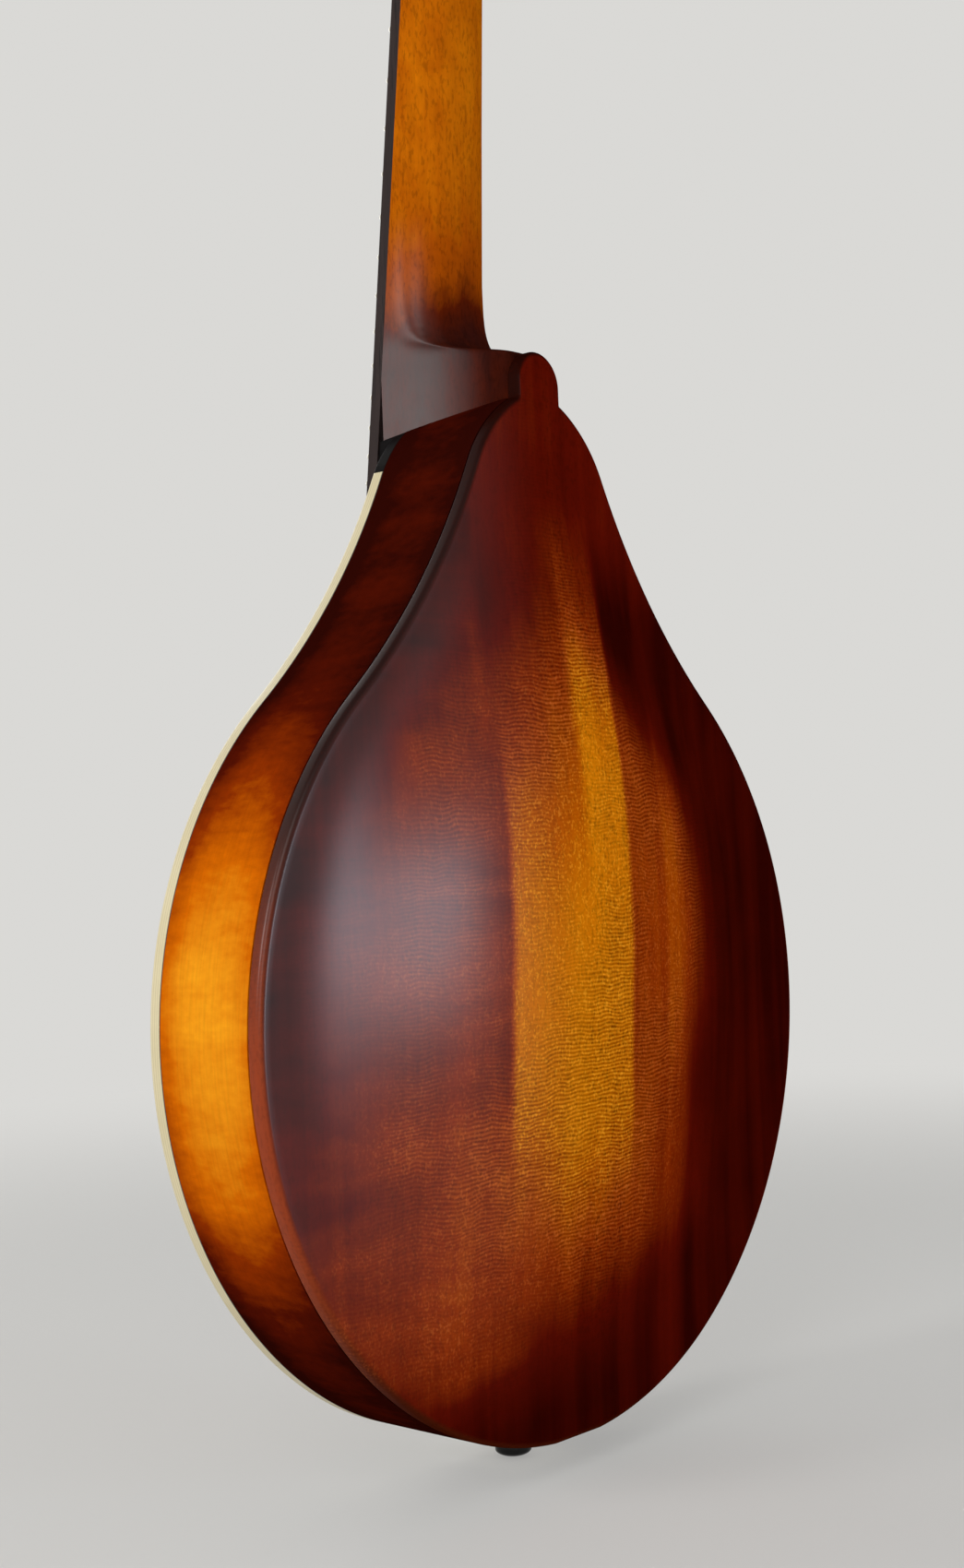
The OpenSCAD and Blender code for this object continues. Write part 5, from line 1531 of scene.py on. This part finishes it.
class MANDOLIN_OT_strings(bpy.types.Operator):
    """Eight strings from the tailpiece over the bridge and the nut, wound on their posts"""

    bl_idname = "mandolin.strings"
    bl_label = "Strings"

    def execute(self, context):
        for label, numbers, node in (
            ("plain", range(4, 8), "strings_plain"),
            ("wound", range(0, 4), "strings_wound"),
        ):
            for part, rows, held, lifted in self.spans():
                shells, runs = [], []
                for k in numbers:
                    rings, length = self.string(k)
                    shells.append(ring_shell(rings[rows])[:2])
                    run = length[rows]
                    runs.append(np.append(np.repeat(run, WIRE_SIDES), [run[0], run[-1]]))
                points, faces = join_shells(shells)
                piece = mesh_piece(
                    "strings_%s_%s" % (label, part),
                    to_frame(points),
                    faces,
                    body=None,
                    smooth=60,
                    attributes=[("along", np.concatenate(runs))],
                )
                apply_finish(piece, "%s_string" % label)
                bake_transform(piece, "mandolin", "bridge", start=held, end=lifted)
                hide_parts(node)
        return {"FINISHED"}

    def spans(self):
        """The strings' two spans, each with its rings, its held end and the end that the
        saddle lifts."""
        ends = [
            to_frame([[0, HOOK_Y, TAIL_L - 3.5], [0, SADDLE_Y, BRIDGE_Z - 0.5]]),
            to_frame([neck_to_body([0, -FRET_H, -0.5]), [0, SADDLE_Y, BRIDGE_Z + 0.5]]),
        ]
        rows = (slice(0, 2), slice(1, None))
        for part, row, (held, lifted) in zip(("tail", "neck"), rows, ends):
            yield part, row, tuple(held.tolist()), tuple(lifted.tolist())

    def string(self, k):
        """Rings of one string and the length along it: straight from tailpiece to saddle, nut
        and post, then a helix round the post's waist, its radius the waist's plus the string's
        and its turns lying side by side."""
        r, post = GAUGES[k // 2] / 2, (4 + k if k < 4 else 7 - k)
        side = 1 if post < 4 else -1
        at_nut = [fan(k, *NUT_FAN), -FRET_H - NUT_LIFT - r]
        straight = [
            np.array([fan(k, *TAIL_FAN), HOOK_Y, TAIL_L - 4]),
            np.array([fan(k, *SADDLE_FAN), SADDLE_Y - r - RUN_GAP, BRIDGE_Z]),
            neck_to_body(at_nut + [0]),
            neck_to_body(at_nut + [NUT_T]),
        ]
        waist = POST_D / 2 - WAIST_CUT + r + WAIST_GAP
        t = np.linspace(0, 1, int(COIL_TURNS * COIL_STEPS))
        angle = np.pi - 2 * np.pi * COIL_TURNS * t
        x = post_x(post) + side * waist * np.cos(angle)
        y = -OVERLAY_T - COIL_DEPTH + (2 * r + COIL_GAP) * COIL_TURNS * t
        coil = np.stack([x, y, post_z(post) + waist * np.sin(angle)], -1)
        path = np.vstack([straight, head_to_body(coil)])
        length = np.concatenate([[0], np.cumsum(np.linalg.norm(np.diff(path, axis=0), axis=1))])
        return tube_rings(path, r, WIRE_SIDES), length


def fan(k, spread, gap):
    """Sideways place of a string in four pairs spread over a width, bass first."""
    pair, side = k // 2, (-1 if k % 2 == 0 else 1)
    return -(spread - gap) / 2 + (spread - gap) * pair / 3 + side * gap / 2


class MANDOLIN_OT_inside(bpy.types.Operator):
    """Raw wood of the blocks, linings and bars"""

    bl_idname = "mandolin.inside"
    bl_label = "Inside"

    def execute(self, context):
        for node in ("linings", "neck_block", "tail_block", "tone_bars"):
            apply_finish(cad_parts[node], "raw_wood")
        return {"FINISHED"}


# name, place and size in metres, share of the key light's power, colour
LAMPS = (
    ("key", (1.25, 0.55, 0.75), (0.7, 1.1), 0.7, (1, 1, 1)),
    ("side", (-0.48, 1.36, 0.18), (0.22, 0.34), 0.7, (0.80, 0.88, 1.0)),
    ("rib", (1.2, -0.42, 0.6), (0.3, 0.4), 0.5, (1, 1, 1)),
    ("front", (-0.6, -1.5, 0.9), (0.9, 0.9), 0.5, (1, 1, 1)),
)
LAMP_AIM = (0, 0.01, 0.24)
WORLD_LIGHT = 0.3
# the camera's place in the body's frame in millimetres, its angles in radians, and its lens
VIEW_PLACE = (497.71, 465.20, 187.44)
VIEW_YAW, VIEW_PITCH, VIEW_LEAN = 2.3055, -0.0269, -0.0388
SENSOR_H, FOCAL_SHARE = 24.0, 2242.57 / 1700
# radii of the floor and the backdrop, radius of the bend between them, and its height
FLOOR_R, WALL_R, BEND_R, WALL_H, FLOOR_SIDES = 2.6, 3.4, 0.8, 4.5, 96


class MANDOLIN_OT_stage(bpy.types.Operator):
    """Floor, backdrop, lights and camera"""

    bl_idname = "mandolin.stage"
    bl_label = "Stage"

    def execute(self, context):
        self.floor(context)
        self.lights(context)
        self.camera(context)
        return {"FINISHED"}

    def floor(self, context):
        """A floor that curves up into a backdrop, behind the view and round it."""
        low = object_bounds()[0][2] - 0.0002
        profile = [(0.02, 0.0), (0.5, 0.0), (1.5, 0.0), (FLOOR_R, 0.0)]
        bend = np.radians(np.linspace(0, 90, 16))[1:]
        profile += [(FLOOR_R + BEND_R * math.sin(b), BEND_R * (1 - math.cos(b))) for b in bend]
        grid = lathe(profile + [(WALL_R, 2.4), (WALL_R, WALL_H)], FLOOR_SIDES) + [0, 0, low]
        points = np.vstack([grid.reshape(-1, 3), [[0, 0, low]]])
        faces = grid_faces(*grid.shape[:2])
        faces += [[len(points) - 1, (i + 1) % FLOOR_SIDES, i] for i in range(FLOOR_SIDES)]
        faces = [f[::-1] for f in faces]
        helper = plain_object("studio_floor", points, faces)
        helper.data.polygons.foreach_set("use_smooth", np.ones(len(faces), bool))
        helper.data.materials.append(self.paper(tuple(context.scene.mandolin_stage.floor_colour)))
        helper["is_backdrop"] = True

    def paper(self, colour):
        """Pale paper that takes the object's shadow near it and, further off, shows its plain
        colour to the view and to mirrors and glass."""
        pale = Finish("studio_paper")
        x, y, _ = pale.axes(pale.place())
        far = (x * x + y * y).root().smooth(0.4, 1.1)
        seen = [
            pale.node("ShaderNodeLightPath", output=output)
            for output in ("Is Camera Ray", "Is Glossy Ray", "Is Transmission Ray")
        ]
        sight = (seen[0] + seen[1] + seen[2]).clamp() * (0.45 + far * 0.55)
        pale.surface(Base_Color=colour, Roughness=0.9)
        plain = pale.node("ShaderNodeEmission", {}, {"Color": tuple(0.92 * c for c in colour)})
        both = pale.tree.nodes.new("ShaderNodeMixShader")
        pale.feed(both.inputs[0], sight)
        pale.tree.links.new(pale.shader.outputs[0], both.inputs[1])
        pale.tree.links.new(plain.socket, both.inputs[2])
        pale.tree.links.new(both.outputs[0], pale.tree.nodes["Material Output"].inputs[0])
        return pale.material

    def lamp(self, name, place, size, power, colour):
        """A soft rectangular light that faces the middle of the body."""
        light = bpy.data.lights.new(name, "AREA")
        light.shape, light.size, light.size_y = "RECTANGLE", size[0], size[1]
        light.energy, light.color = power, colour
        holder = link_object(name, light)
        holder.location = place
        aim = Vector(LAMP_AIM) - Vector(place)
        holder.rotation_euler = aim.to_track_quat("-Z", "Y").to_euler()
        holder.visible_camera = False

    def lights(self, context):
        """The lamps, each a share of the key light's power, and a weak even world light."""
        world = bpy.data.worlds.new("studio")
        context.scene.world = world
        world.use_nodes = True
        back = world.node_tree.nodes["Background"]
        back.inputs["Color"].default_value = (1, 1, 1, 1)
        back.inputs["Strength"].default_value = WORLD_LIGHT
        for name, place, size, share, colour in LAMPS:
            self.lamp(name, place, size, share * context.scene.mandolin_stage.key_power, colour)

    def camera(self, context):
        """The camera at the view's place, from its yaw, pitch and lean in radians. The focal
        length is a share of the frame's height."""
        yaw, pitch, lean = VIEW_YAW, VIEW_PITCH, VIEW_LEAN
        back = np.array(
            [math.sin(yaw) * math.cos(pitch), -math.cos(yaw) * math.cos(pitch), math.sin(pitch)]
        )
        right = np.cross(-back, [0, 0, 1.0])
        right /= np.linalg.norm(right)
        up = np.cross(right, -back)
        side = math.cos(lean) * right + math.sin(lean) * up
        over = -math.sin(lean) * right + math.cos(lean) * up
        data = bpy.data.cameras.new("view")
        data.sensor_fit, data.sensor_height = "VERTICAL", SENSOR_H
        data.lens = FOCAL_SHARE * data.sensor_height
        data.clip_start, data.clip_end = 0.01, 30
        holder = link_object("view", data)
        matrix = np.eye(4)
        matrix[:3, :3] = np.stack([side, over, back], 1)
        matrix[:3, 3] = to_frame(VIEW_PLACE)
        holder.matrix_world = Matrix(matrix.tolist())
        context.scene.camera = holder
        context.scene.view_settings.view_transform = "Standard"


class MANDOLIN_PT_panel(bpy.types.Panel):
    """Lists the mandolin's sizes and its operators"""

    bl_idname = "MANDOLIN_PT_panel"
    bl_label = "Mandolin"
    bl_space_type = "VIEW_3D"
    bl_region_type = "UI"
    bl_category = "Mandolin"

    def draw(self, context):
        layout = self.layout
        for group in (context.scene.mandolin_body, context.scene.mandolin_stage):
            for key in group.__annotations__:
                layout.prop(group, key)
        for operator in OPERATORS:
            layout.operator(operator.bl_idname)


OPERATORS = (
    MANDOLIN_OT_stage,
    MANDOLIN_OT_back,
    MANDOLIN_OT_ribs,
    MANDOLIN_OT_binding,
    MANDOLIN_OT_top,
    MANDOLIN_OT_inside,
    MANDOLIN_OT_neck,
    MANDOLIN_OT_frets,
    MANDOLIN_OT_strap_button,
    MANDOLIN_OT_tuners,
    MANDOLIN_OT_bridge,
    MANDOLIN_OT_strings,
)
CLASSES = (MANDOLIN_PG_body, MANDOLIN_PG_stage, *OPERATORS, MANDOLIN_PT_panel)


def register():
    """Registers the classes and hangs the property groups on the scene."""
    for cls in CLASSES:
        bpy.utils.register_class(cls)
    bpy.types.Scene.mandolin_body = bpy.props.PointerProperty(type=MANDOLIN_PG_body)
    bpy.types.Scene.mandolin_stage = bpy.props.PointerProperty(type=MANDOLIN_PG_stage)


def unregister():
    """Takes the classes and the property groups away again."""
    del bpy.types.Scene.mandolin_stage
    del bpy.types.Scene.mandolin_body
    for cls in reversed(CLASSES):
        bpy.utils.unregister_class(cls)


def main():
    """Registers the add-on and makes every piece."""
    register()
    for operator in OPERATORS:
        group, name = operator.bl_idname.split(".")
        getattr(getattr(bpy.ops, group), name)()


if __name__ == "__main__":
    main()
